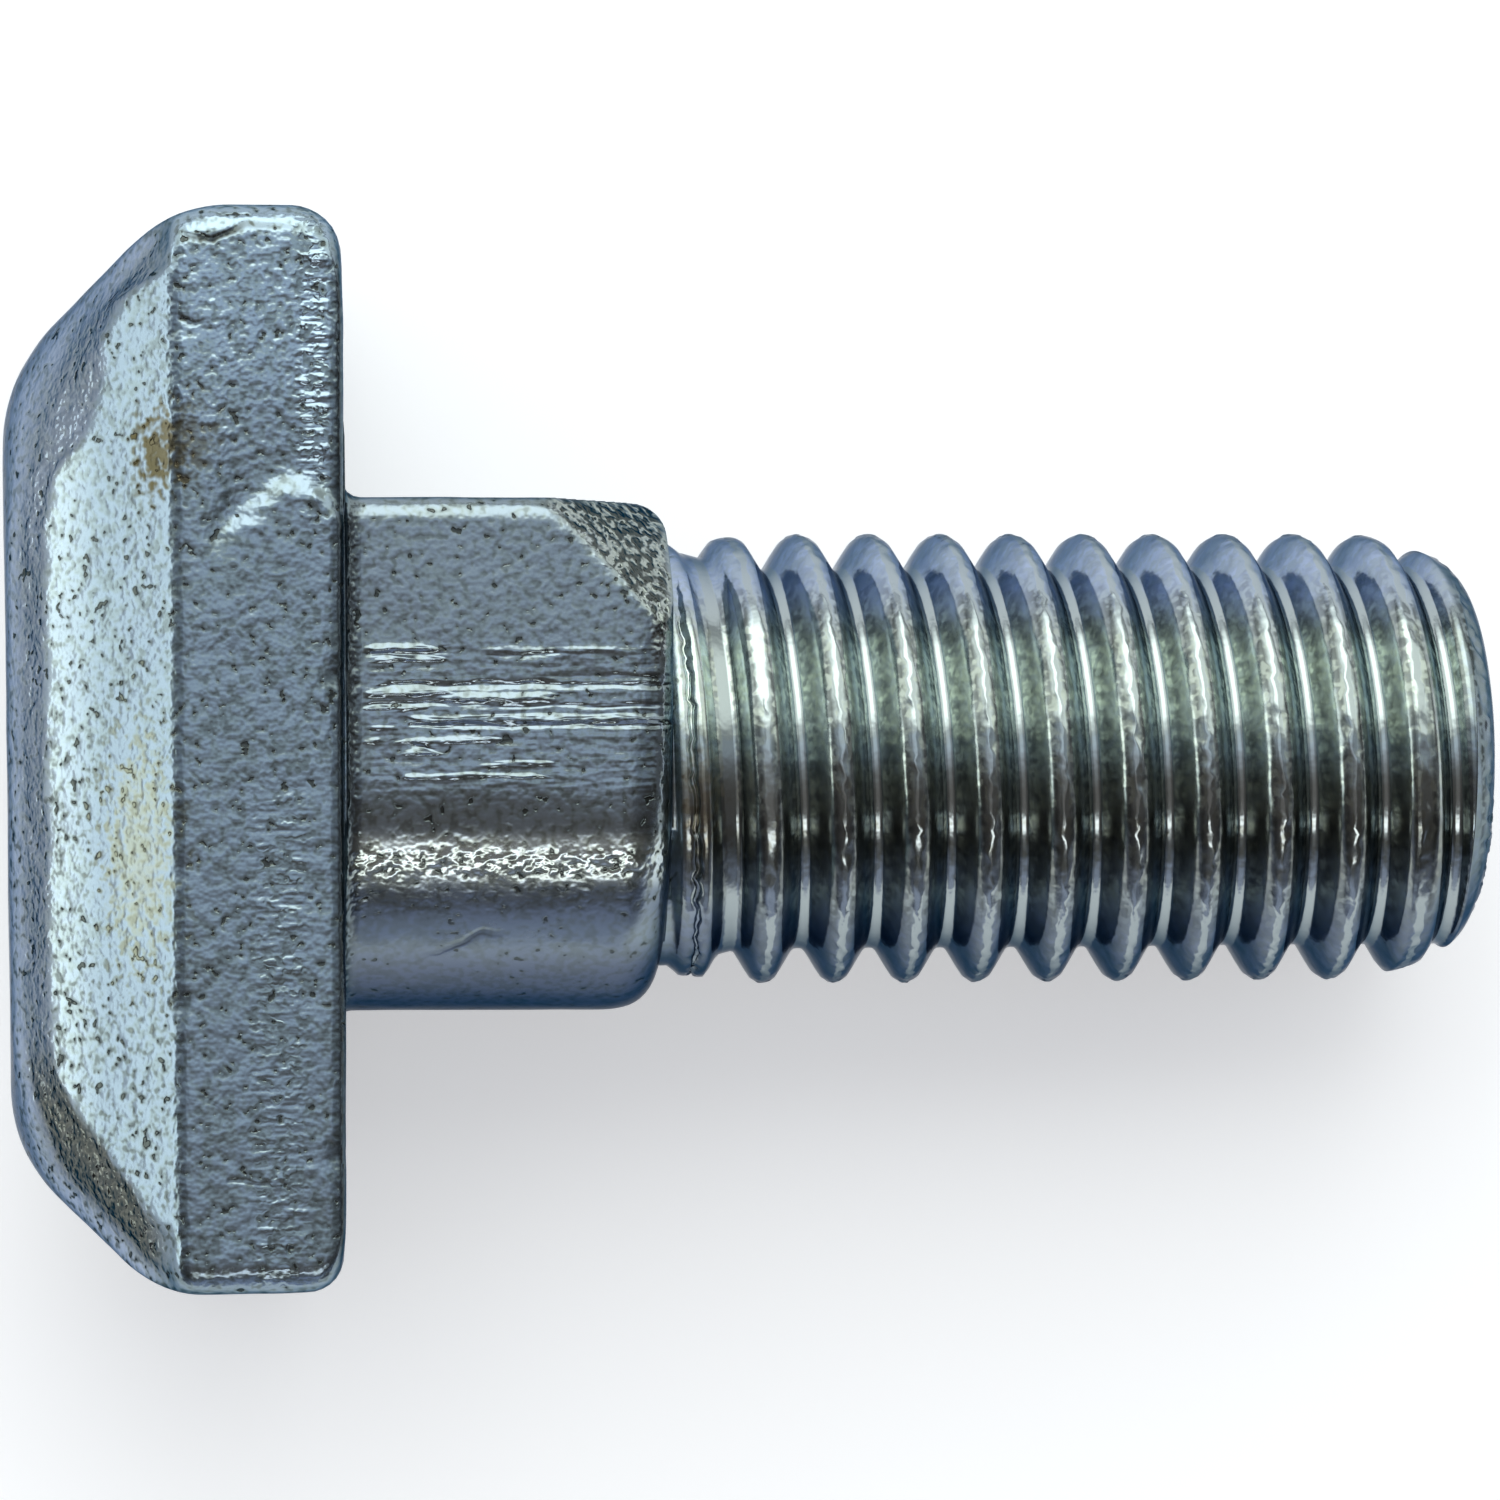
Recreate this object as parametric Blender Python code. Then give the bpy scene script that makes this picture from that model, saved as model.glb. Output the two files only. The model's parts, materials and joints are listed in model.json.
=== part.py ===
"""Hammer head bolt, M8 x 20: forged oblong head, square neck with two rounded corners, rolled thread.

The bolt is built along its own axis. X = 0 is the bearing face under the head, +X runs to the tip,
Y runs along the head and Z through it. It is then laid on its side, as it comes to rest, on the edge
of its head and on its thread, with the middle of its footprint at the world origin.
"""

import math

import bmesh
import bpy
import numpy as np
from mathutils import Matrix, Vector

MM = 0.001
NAME = "hammer_head_bolt"

# Head: a block with a bevel all round its crown, forged a little off the shank's axis and a little
# thicker towards +Y
HEAD_LENGTH = 18.05 * MM
HEAD_SHIFT = 0.13 * MM
HEAD_DEPTH = 9.7 * MM
HEAD_THICKNESS = 5.56 * MM
CROWN_SLOPE = 0.010
CORNER_RADIUS = 0.55 * MM
MAX_CORNER_SHARE = 0.9

# The head's two long sides
SIDE_HEIGHT = 2.75 * MM
SIDE_BEVEL = math.radians(45)
SIDE_FOOT_RADIUS = 0.25 * MM
SIDE_BROW_RADIUS = 0.35 * MM
SIDE_CROWN_RADIUS = 2.5 * MM

# The head's two ends, which the die filled differently: +Y came out rounder than -Y
END_BEVEL = math.radians(42.5)
ROUND_END_FOOT_RADIUS = 0.85 * MM
ROUND_END_HEIGHT = 2.8 * MM
ROUND_END_BROW_RADIUS = 2.6 * MM
ROUND_END_CROWN_RADIUS = 2.8 * MM
ROUND_END_CORNER_GROWTH = 0.75
CRISP_END_FOOT_RADIUS = 0.65 * MM
CRISP_END_HEIGHT = 3.15 * MM
CRISP_END_BROW_RADIUS = 2.0 * MM
CRISP_END_CROWN_RADIUS = 2.4 * MM
CRISP_END_CORNER_GROWTH = 0.40

# Neck: a square whose two rounded corners let it turn one way in the slot
NECK_WIDTH = 8.65 * MM
NECK_LENGTH = 5.55 * MM
NECK_ROUND_CORNER_RADIUS = 4.0 * MM
NECK_SHARP_CORNER_RADIUS = 0.3 * MM
NECK_FILLET = 0.3 * MM
NECK_SHARP_END_RADIUS = 0.5 * MM
NECK_ROUND_END_RADIUS = 0.9 * MM
NECK_CONE_RADIUS = 4.65 * MM
NECK_CONE_SLOPE = 0.63

# Thread: rolled on a blank whose radius is a step less than the crest's
BOLT_LENGTH = 19.97 * MM
THREAD_DIAMETER = 7.84 * MM
THREAD_PITCH = 1.25 * MM
THREAD_DEPTH = 0.62 * MM
CREST_WIDTH = 0.38 * MM
CREST_ROUNDING = 0.10 * MM
ROOT_WIDTH = 0.28 * MM
BLANK_STEP = 0.34 * MM
BLANK_SHOW = 0.5 * MM
RUNOUT_LENGTH = 2.4 * MM
RUNOUT_CREST_LOSS = 0.32 * MM
LEAD_IN = 1.28 * MM
TIP_CHAMFER_LENGTH = 2.1 * MM

# The rounded tip past its chamfer, as distances back from the bolt's end and radii
TIP_ROUNDING = ((1.1 * MM, 3.69 * MM), (0.6 * MM, 3.49 * MM), (0.2 * MM, 3.12 * MM), (0.0, 2.1 * MM))

# How finely round forms are divided
TURN_STEPS = 36
CORNER_STEPS = 6
FOOT_STEPS = 3
BROW_STEPS = 3
CROWN_STEPS = 5
NECK_ROUND_STEPS = 10
NECK_END_STEPS = 6
FILLET_STEPS = 3
SMOOTH_ANGLE = math.radians(32)

# Overlaps that joined solids share, and room kept where a tool must cut clear
EMBED = 1.0 * MM
CLEAR = 0.05 * MM
RING_GAP = 0.04 * MM
SPARE_TURNS = 2

# Only points this near to a part's full half depth can touch the ground
TOUCHING_SHARE = 0.9

# Bright zinc plating
ZINC_COLOUR = (0.36, 0.40, 0.44, 1.0)
ZINC_ROUGHNESS = 0.34


def clear_scene():
    for old in list(bpy.data.objects):
        bpy.data.objects.remove(old, do_unlink=True)


def arc(centre, radius, start, end, steps):
    """Points (a, b) of a plane arc about centre, from angle start to angle end."""
    angles = np.linspace(start, end, steps + 1)
    return np.column_stack([centre[0] + radius * np.cos(angles), centre[1] + radius * np.sin(angles)])


def object_from(bm, name):
    """A scene object whose mesh is bm, closed and facing outwards."""
    bmesh.ops.triangulate(bm, faces=[face for face in bm.faces if len(face.verts) == 4])
    bmesh.ops.recalc_face_normals(bm, faces=bm.faces)
    mesh = bpy.data.meshes.new(name)
    bm.to_mesh(mesh)
    bm.free()
    made = bpy.data.objects.new(name, mesh)
    bpy.context.scene.collection.objects.link(made)
    return made


def loft(name, rings):
    """A solid through rings that hold the same number of points, with flat ends."""
    bm = bmesh.new()
    rows = [[bm.verts.new(point) for point in ring] for ring in rings]
    count = len(rows[0])
    for near, far in zip(rows, rows[1:]):
        for i in range(count):
            j = (i + 1) % count
            bm.faces.new((near[i], near[j], far[j], far[i]))
    bm.faces.new(rows[0])
    bm.faces.new(rows[-1])
    return object_from(bm, name)


def turned(name, outline):
    """A solid turned about the X axis from an outline of (x, radius) points.

    Its corners stand half a step off the thread's, so that no edge of one lies along an edge of the other.
    """
    angles = (np.arange(TURN_STEPS) + 0.5) * (2 * math.pi / TURN_STEPS)
    around = np.column_stack([np.zeros(TURN_STEPS), np.cos(angles), np.sin(angles)])
    return loft(name, [around * radius + (x, 0, 0) for x, radius in outline])


def combine(target, tool, operation):
    """Applies a Boolean of tool to target, and removes the tool."""
    modifier = target.modifiers.new(operation.lower(), "BOOLEAN")
    modifier.operation = operation
    modifier.object = tool
    graph = bpy.context.evaluated_depsgraph_get()
    result = bpy.data.meshes.new_from_object(target.evaluated_get(graph))
    target.modifiers.clear()
    target.data = result
    bpy.data.objects.remove(tool, do_unlink=True)


def edge_profile(side_height, bevel, foot_radius, brow_radius, crown_radius):
    """The edge of the head as (height above the bearing face, inset) points, from foot to crown.

    The foot is rounded, the side rises straight to the brow, the bevel leans inwards from there by its
    angle, and the crown's arc ends level with the top of the head.
    """
    foot = arc((foot_radius, foot_radius), foot_radius, math.pi, 1.5 * math.pi, FOOT_STEPS)
    brow_reach = brow_radius * math.tan(bevel / 2)
    brow_turn = np.linspace(0, bevel, BROW_STEPS + 1)
    brow = np.column_stack([
        side_height - brow_reach + brow_radius * np.sin(brow_turn),
        brow_radius * (1 - np.cos(brow_turn)),
    ])
    bevel_inset = (HEAD_THICKNESS - side_height) * math.tan(bevel)
    crown_reach = crown_radius * math.tan((math.pi / 2 - bevel) / 2)
    crown_turn = np.linspace(bevel, math.pi / 2, CROWN_STEPS + 1)
    crown = np.column_stack([
        HEAD_THICKNESS - crown_radius * (1 - np.sin(crown_turn)),
        bevel_inset + crown_reach - crown_radius * np.cos(crown_turn),
    ])
    return np.vstack([foot, brow, crown])


def head_ring(height, side, ends):
    """The head's oblong section at a height, from its side's and its two ends' edge profiles.

    Each corner is a quarter of an ellipse that grows as the section draws in. The section leans with
    the crown's slope in proportion to its height.
    """
    side_inset = np.interp(height, *side.T)
    half_depth = HEAD_DEPTH / 2 - side_inset
    turn = np.linspace(0, math.pi / 2, CORNER_STEPS + 1)
    ring = []
    for y_sign, z_sign in ((1, 1), (-1, 1), (-1, -1), (1, -1)):
        profile, growth = ends[y_sign]
        end_inset = np.interp(height, *profile.T)
        half_length = HEAD_LENGTH / 2 - end_inset
        radius_y = CORNER_RADIUS + growth * end_inset
        radius_z = min(CORNER_RADIUS + growth * side_inset, MAX_CORNER_SHARE * half_depth)
        along = HEAD_SHIFT + y_sign * (half_length - radius_y * (1 - np.sin(turn)))
        corner = np.column_stack([
            -height * (1 + CROWN_SLOPE * along / HEAD_THICKNESS),
            along,
            z_sign * (half_depth - radius_z * (1 - np.cos(turn))),
        ])
        ring.append(corner if y_sign != z_sign else corner[::-1])
    return np.vstack(ring)


def head():
    """The forged head, lofted from its bearing face up to its crown."""
    side = edge_profile(SIDE_HEIGHT, SIDE_BEVEL, SIDE_FOOT_RADIUS, SIDE_BROW_RADIUS, SIDE_CROWN_RADIUS)
    round_end = edge_profile(
        ROUND_END_HEIGHT, END_BEVEL, ROUND_END_FOOT_RADIUS, ROUND_END_BROW_RADIUS, ROUND_END_CROWN_RADIUS
    )
    crisp_end = edge_profile(
        CRISP_END_HEIGHT, END_BEVEL, CRISP_END_FOOT_RADIUS, CRISP_END_BROW_RADIUS, CRISP_END_CROWN_RADIUS
    )
    ends = {1: (round_end, ROUND_END_CORNER_GROWTH), -1: (crisp_end, CRISP_END_CORNER_GROWTH)}
    heights = np.unique(np.concatenate([side, round_end, crisp_end])[:, 0])
    apart = np.concatenate([[True], np.diff(heights) > RING_GAP])
    apart[-1] = True
    return loft(NAME, [head_ring(height, side, ends) for height in heights[apart]])


def neck_ring(x, sharp_inset, round_inset):
    """The neck's section at x: two sharp and two rounded corners, each pair drawn in by its own inset."""
    ring = []
    for quarter in range(4):
        sharp = quarter % 2 == 0
        inset = sharp_inset if sharp else round_inset
        radius = NECK_SHARP_CORNER_RADIUS if sharp else NECK_ROUND_CORNER_RADIUS
        radius = max(radius - inset, CLEAR)
        half = NECK_WIDTH / 2 - inset
        turn = quarter * math.pi / 2
        angles = np.linspace(turn, turn + math.pi / 2, NECK_ROUND_STEPS + 1)
        middle = turn + math.pi / 4
        ring.append(np.column_stack([
            np.full(len(angles), x),
            math.copysign(half - radius, math.sin(middle)) + radius * np.sin(angles),
            math.copysign(half - radius, math.cos(middle)) + radius * np.cos(angles),
        ]))
    return np.vstack(ring)


def end_inset(x, radius):
    """How far an edge of this radius at the neck's end has drawn the section in at x."""
    into = max(x - (NECK_LENGTH - radius), 0)
    return radius - math.sqrt(max(radius * radius - into * into, 0))


def neck():
    """The square neck, with a fillet under the head, a rounded end and coned corners."""
    flare = arc((NECK_FILLET, -NECK_FILLET), NECK_FILLET, math.pi, math.pi / 2, FILLET_STEPS)
    rings = [neck_ring(x, inset, inset) for x, inset in ((-EMBED, -NECK_FILLET), *flare)]
    turn = np.linspace(0, math.pi / 2, NECK_END_STEPS + 1)
    start = NECK_LENGTH - max(NECK_SHARP_END_RADIUS, NECK_ROUND_END_RADIUS)
    for x in start + (NECK_LENGTH - start) * np.sin(turn):
        rings.append(neck_ring(x, end_inset(x, NECK_SHARP_END_RADIUS), end_inset(x, NECK_ROUND_END_RADIUS)))
    made = loft("neck", rings)
    cone = turned("neck_cone", [
        (x, NECK_CONE_RADIUS + NECK_CONE_SLOPE * (NECK_LENGTH - x))
        for x in (-2 * EMBED, NECK_LENGTH + EMBED)
    ])
    combine(made, cone, "INTERSECT")
    return made


def thread_ridge():
    """The thread as one closed helical solid, longer at both ends than the thread that is kept.

    The profile has a flat root and a crowned crest. It advances one pitch a turn from +Y towards +Z,
    which makes the thread right-handed.
    """
    crest = THREAD_DIAMETER / 2
    root = crest - THREAD_DEPTH
    root_edge = (THREAD_PITCH - ROOT_WIDTH) / 2
    profile = [
        (-root_edge, root),
        (-CREST_WIDTH / 2, crest - CREST_ROUNDING),
        (0.0, crest),
        (CREST_WIDTH / 2, crest - CREST_ROUNDING),
        (root_edge, root),
    ]
    first = NECK_LENGTH + LEAD_IN - SPARE_TURNS * THREAD_PITCH
    steps = math.ceil(((BOLT_LENGTH - first) / THREAD_PITCH + SPARE_TURNS) * TURN_STEPS)
    bm = bmesh.new()
    rows = []
    for step in range(steps + 1):
        turn = step / TURN_STEPS
        angle = 2 * math.pi * turn
        rows.append([
            bm.verts.new((
                first + THREAD_PITCH * turn + along,
                radius * math.cos(angle),
                radius * math.sin(angle),
            ))
            for along, radius in profile
        ])
    for here, ahead in zip(rows, rows[1:]):
        for k in range(len(profile) - 1):
            bm.faces.new((here[k], ahead[k], ahead[k + 1], here[k + 1]))
    for step in range(steps - TURN_STEPS):
        bm.faces.new((
            rows[step][-1],
            rows[step + 1][-1],
            rows[step + 1 + TURN_STEPS][0],
            rows[step + TURN_STEPS][0],
        ))
    start_edge = [row[0] for row in rows[:TURN_STEPS + 1]] + rows[0][::-1]
    end_edge = [row[-1] for row in rows[-1 - TURN_STEPS:]][::-1] + rows[-1]
    last = first + THREAD_PITCH * steps / TURN_STEPS
    for rim, x in ((start_edge[:-1], first - THREAD_PITCH), (end_edge[:-1], last + THREAD_PITCH)):
        hub = bm.verts.new((x, 0, 0))
        for a, b in zip(rim, rim[1:] + rim[:1]):
            bm.faces.new((a, b, hub))
    return object_from(bm, "thread")


def threaded_shank():
    """The rolled shank: the ridge, trimmed at its run-out and its tip, on the blank that it was rolled from."""
    crest = THREAD_DIAMETER / 2
    blank = crest - BLANK_STEP
    core = crest - THREAD_DEPTH - CLEAR
    bury = NECK_LENGTH - EMBED
    runout_end = NECK_LENGTH + RUNOUT_LENGTH
    made = thread_ridge()
    envelope = turned("thread_envelope", [
        (bury, crest - RUNOUT_CREST_LOSS),
        (runout_end, crest + CLEAR),
        (BOLT_LENGTH - TIP_CHAMFER_LENGTH, crest + CLEAR),
        *((BOLT_LENGTH - back, radius) for back, radius in TIP_ROUNDING),
    ])
    combine(made, envelope, "INTERSECT")
    stock = turned("blank", [
        (bury - EMBED, blank),
        (NECK_LENGTH + BLANK_SHOW, blank),
        (NECK_LENGTH + BLANK_SHOW + RUNOUT_LENGTH / 2, core),
        (BOLT_LENGTH - TIP_CHAMFER_LENGTH, core - CLEAR),
    ])
    combine(made, stock, "UNION")
    return made


def zinc():
    """The plating's material."""
    made = bpy.data.materials.new("zinc_plated_steel")
    made.use_nodes = True
    shader = made.node_tree.nodes["Principled BSDF"]
    shader.inputs["Base Color"].default_value = ZINC_COLOUR
    shader.inputs["Metallic"].default_value = 1.0
    shader.inputs["Roughness"].default_value = ZINC_ROUGHNESS
    return made


def resting_tilt(points):
    """How far the bolt, on its side, turns about Y until its head and its thread both touch the ground.

    It is the slope of the lowest chord under the bolt's middle, from a point of the head to one of
    the shank.
    """
    middle = NECK_LENGTH / 2
    near = points[points[:, 0] < 0]
    far = points[points[:, 0] > NECK_LENGTH]
    near = near[near[:, 2] < -TOUCHING_SHARE * HEAD_DEPTH / 2]
    far = far[far[:, 2] < -TOUCHING_SHARE * (THREAD_DIAMETER / 2 - BLANK_STEP)]
    run = far[None, :, 0] - near[:, None, 0]
    rise = far[None, :, 2] - near[:, None, 2]
    height = near[:, None, 2] + rise * (middle - near[:, None, 0]) / run
    best = np.unravel_index(np.argmin(height), height.shape)
    return math.atan2(rise[best], run[best])


def lay_down(bolt):
    """Turns the bolt to its rest, lowest point at z = 0 and its footprint's middle at the origin."""
    points = np.array([vertex.co for vertex in bolt.data.vertices])
    turn = Matrix.Rotation(resting_tilt(points), 3, "Y")
    placed = points @ np.array(turn).T
    low, high = placed.min(axis=0), placed.max(axis=0)
    bolt.rotation_euler = turn.to_euler()
    bolt.location = Vector((-(low[0] + high[0]) / 2, -(low[1] + high[1]) / 2, -low[2]))


def main():
    clear_scene()
    bolt = head()
    combine(bolt, neck(), "UNION")
    combine(bolt, threaded_shank(), "UNION")
    bolt.data.materials.clear()
    bolt.data.materials.append(zinc())
    bolt.data.shade_smooth()
    bolt.data.set_sharp_from_angle(angle=SMOOTH_ANGLE)
    lay_down(bolt)


main()
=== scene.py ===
"""Looks of the hammer head bolt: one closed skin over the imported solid, its finish and the studio.

All shapes are worked out in the bolt's own axes, in millimetres. X = 0 is the bearing face under the
head, +X runs to the tip, Y runs along the head and Z through it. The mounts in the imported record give
those axes in the row frame.
"""

import json
import logging
import math
from dataclasses import dataclass, field
from enum import Enum

import bpy
import numpy as np
from mathutils import Matrix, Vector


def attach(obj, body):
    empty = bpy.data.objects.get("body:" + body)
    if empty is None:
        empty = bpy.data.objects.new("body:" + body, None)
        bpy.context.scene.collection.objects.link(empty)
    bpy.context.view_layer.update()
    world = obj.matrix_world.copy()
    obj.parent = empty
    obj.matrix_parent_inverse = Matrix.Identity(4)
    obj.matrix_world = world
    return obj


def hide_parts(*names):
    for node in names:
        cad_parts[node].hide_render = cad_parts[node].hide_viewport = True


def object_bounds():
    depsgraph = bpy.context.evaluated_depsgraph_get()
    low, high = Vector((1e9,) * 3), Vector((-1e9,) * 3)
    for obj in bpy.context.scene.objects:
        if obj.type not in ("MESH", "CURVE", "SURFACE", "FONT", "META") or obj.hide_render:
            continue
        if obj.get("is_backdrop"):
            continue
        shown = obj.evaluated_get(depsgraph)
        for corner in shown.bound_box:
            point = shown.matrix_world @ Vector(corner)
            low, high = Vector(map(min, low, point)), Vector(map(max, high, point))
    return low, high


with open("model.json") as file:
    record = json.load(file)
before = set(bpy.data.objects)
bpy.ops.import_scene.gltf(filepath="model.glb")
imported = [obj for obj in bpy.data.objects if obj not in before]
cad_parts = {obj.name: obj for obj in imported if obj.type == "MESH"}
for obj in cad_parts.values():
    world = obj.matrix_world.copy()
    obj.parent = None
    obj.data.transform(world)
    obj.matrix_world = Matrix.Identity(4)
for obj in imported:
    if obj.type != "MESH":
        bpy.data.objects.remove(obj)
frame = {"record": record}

NODE = "hammer_head_bolt"
SLOT = "zinc_plated_steel"
BODY = "root"
MM = 0.001
SENSOR_MM = 36.0
QUARTER = math.pi / 2

log = logging.getLogger(NODE)

# A linear colour, a line through points, and where a step or a band starts and ends
Colour = tuple[float, float, float]
Line = tuple[tuple[float, float], ...]
Span = tuple[float, ...]


class Layer(Enum):
    """The mesh's own layers, which the finish reads at each point."""

    WEAR = "wear"
    TEXTURE = "texture"
    ZONES = "zones"
    TINT = "tint"


def smooth_step(value: np.ndarray, low: float, high: float) -> np.ndarray:
    """0 below low, 1 above high and 3t^2 - 2t^3 between them.

    Args:
        value: What is compared.
        low: Where the step starts.
        high: Where it ends. It may be less than low, which turns the step round.

    Returns:
        The step, from 0 to 1, in the shape of value.
    """
    share = np.clip((value - low) / (high - low), 0.0, 1.0)
    return share * share * (3 - 2 * share)


def hump(distance: np.ndarray, width: float) -> np.ndarray:
    """A bell, exp(-(distance / width)^2), 1 in its middle.

    Args:
        distance: Distance from the bell's middle.
        width: Distance at which the bell has fallen to about a third.

    Returns:
        The bell's height at each distance.
    """
    return np.exp(-((distance / width) ** 2))


def soft_max(first: np.ndarray, second: np.ndarray, rounding: float) -> np.ndarray:
    """The larger of two values, with the corner between them rounded over.

    It is rounding * log(exp(first / rounding) + exp(second / rounding)).

    Args:
        first: One value.
        second: The other value.
        rounding: Size of the rounded corner.

    Returns:
        The rounded maximum.
    """
    return rounding * np.logaddexp(first / rounding, second / rounding)


@dataclass(frozen=True)
class Noise:
    """Smooth noise of this depth that changes over about one cell. seed chooses the pattern.

    It runs from -depth to depth, less depth times level.
    """

    depth: float
    cell: float
    seed: int
    level: float = 0.0

    def at(self, points: np.ndarray) -> np.ndarray:
        """The noise at each point.

        Every corner of a lattice gets a number hashed from its three indices and the seed. A point
        blends the eight corners of its cell by 3t^2 - 2t^3 along each axis.

        Args:
            points: Rows of three coordinates.

        Returns:
            One value for each point.
        """
        scaled = points / self.cell
        low = np.floor(scaled).astype(np.int64)
        part = scaled - low
        blend = part * part * (3 - 2 * part)
        total = np.zeros(len(points))
        for corner in np.ndindex(2, 2, 2):
            index = low + corner
            mixed = index @ np.array([73856093, 19349663, 83492791]) + self.seed * 2654435761
            mixed = ((mixed ^ (mixed >> 13)) * 1274126177) & 0xFFFFFFFF
            mixed = ((mixed ^ (mixed >> 15)) * 2246822519) & 0xFFFFFFFF
            value = ((mixed >> 16) & 0xFFFF) / 32767.5 - 1
            total += value * np.prod(np.where(corner, blend, 1 - blend), axis=1)
        return self.depth * (total - self.level)


def corner_cut(outline: np.ndarray, times: int) -> np.ndarray:
    """Rounds an open outline by cutting its corners at a quarter and three quarters of each run.

    Args:
        outline: Rows of two coordinates.
        times: How often the corners are cut.

    Returns:
        The rounded outline, with the first and last points kept.
    """
    for _ in range(times):
        near = 0.75 * outline[:-1] + 0.25 * outline[1:]
        far = 0.25 * outline[:-1] + 0.75 * outline[1:]
        inner = np.stack([near, far], axis=1).reshape(-1, 2)
        outline = np.vstack([outline[:1], inner, outline[-1:]])
    return outline


@dataclass(frozen=True)
class BoltAxes:
    """The bolt's own axes in the row frame.

    origin is the middle of the bearing face and turn has the bolt's X, Y and Z as its rows.
    """

    origin: np.ndarray
    turn: np.ndarray

    @classmethod
    def from_record(cls, record: dict) -> "BoltAxes":
        """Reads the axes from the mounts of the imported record.

        Args:
            record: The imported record.

        Returns:
            The bolt's axes.
        """
        mounts = {mount["name"]: mount for mount in record["mounts"]}
        ends = [np.array(mounts[f"bearing_face_{end}_end"]["pos_m"]) for end in ("round", "crisp")]
        along = np.array(mounts["tip_face"]["axis"])
        up = np.array(mounts["neck_flat_upper"]["axis"])
        across = np.cross(up, along)
        return cls(origin=(ends[0] + ends[1]) / 2, turn=np.vstack([along, across, up]))

    def place(self, points: np.ndarray) -> np.ndarray:
        """Points in the bolt's axes, in millimetres, as points of the row frame in metres."""
        return self.origin + (points * MM) @ self.turn

    def matrix(self, columns: np.ndarray, position: np.ndarray) -> Matrix:
        """A world matrix for something whose own axes and position are given in the bolt's axes.

        Args:
            columns: Its three axes, one in each row.
            position: Where it stands, in millimetres.

        Returns:
            The matrix in the row frame.
        """
        made = np.eye(4)
        made[:3, :3] = (columns @ self.turn).T
        made[:3, 3] = self.place(position)
        return Matrix(made.tolist())


@dataclass
class Skin:
    """A closed surface, collected ring by ring in the bolt's axes and in millimetres."""

    points: list[np.ndarray] = field(default_factory=list)
    faces: list[np.ndarray] = field(default_factory=list)
    count: int = 0

    def add(self, points: np.ndarray) -> np.ndarray:
        """Takes in an array of points.

        Args:
            points: Any array whose last axis holds three coordinates.

        Returns:
            The points' indices, in the array's shape.
        """
        flat = points.reshape(-1, 3)
        indices = np.arange(self.count, self.count + len(flat)).reshape(points.shape[:-1])
        self.points.append(flat)
        self.count += len(flat)
        return indices

    def quads(self, first: np.ndarray, second: np.ndarray, third: np.ndarray, fourth: np.ndarray) -> None:
        """Adds one four-sided face for each place of four index arrays, in order round the face."""
        self.faces.append(np.stack([first, second, third, fourth], axis=-1).reshape(-1, 4))

    def tube(self, rings: np.ndarray) -> None:
        """Joins each closed ring of indices to the next one. Rings run along the first axis."""
        turned = np.roll(rings, -1, axis=1)
        self.quads(rings[:-1], turned[:-1], turned[1:], rings[1:])

    def close(self, ring: np.ndarray, pole: np.ndarray, opens: bool) -> None:
        """Closes a ring with triangles to one point.

        Args:
            ring: The ring's indices.
            pole: The point.
            opens: Whether the pole comes before the ring along the bolt, rather than after it.
        """
        hub = np.full(len(ring), self.add(pole))
        following = np.roll(ring, -1)
        if opens:
            self.quads(hub, following, ring, ring)
        else:
            self.quads(ring, following, hub, hub)

    def stitch(self, fine: np.ndarray, coarse: np.ndarray) -> None:
        """Joins a ring to a next one that has fewer points, with triangles.

        Each edge of the fine ring reaches the coarse point nearest to its middle. Where that point
        changes, the coarse edge reaches back to the fine point between the two edges.

        Args:
            fine: The ring's indices.
            coarse: The next ring's indices.
        """
        steps = np.arange(len(fine))
        nearest = np.round((steps + 0.5) * len(coarse) / len(fine)).astype(int) % len(coarse)
        following = np.roll(fine, -1)
        self.quads(fine, following, coarse[nearest], coarse[nearest])
        before = np.roll(nearest, 1)
        moved = before != nearest
        self.quads(fine[moved], coarse[nearest[moved]], coarse[before[moved]], coarse[before[moved]])

    def finished(self) -> tuple[np.ndarray, list[list[int]]]:
        """Leaves out unused points, repeated corners and faces without area.

        Returns:
            The points, and the faces as lists of three or four indices.
        """
        faces = np.vstack(self.faces)
        same = faces == np.roll(faces, -1, axis=1)
        whole = faces[~same.any(axis=1)]
        folded = faces[same.sum(axis=1) == 1]
        kept = ~(folded == np.roll(folded, -1, axis=1))
        triangles = folded[kept].reshape(-1, 3)
        used = np.unique(np.concatenate([whole.ravel(), triangles.ravel()]))
        number = np.zeros(self.count, dtype=int)
        number[used] = np.arange(len(used))
        return np.vstack(self.points)[used], number[whole].tolist() + number[triangles].tolist()


def outward_normals(points: np.ndarray, faces: list[list[int]]) -> np.ndarray:
    """Unit normals at the points, as the sum of their faces' normals weighted by area.

    Args:
        points: The surface's points.
        faces: Its triangles and quads.

    Returns:
        One unit vector for each point.
    """
    padded = np.array([face if len(face) == 4 else [*face, face[0]] for face in faces])
    corners = points[padded]
    diagonal = corners[:, 2] - corners[:, 0]
    other = corners[:, 3] - corners[:, 1]
    weighted = np.cross(diagonal, other)
    total = np.zeros_like(points)
    for column in range(4):
        np.add.at(total, padded[:, column], weighted)
    return total / np.maximum(np.linalg.norm(total, axis=1, keepdims=True), 1e-12)


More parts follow.
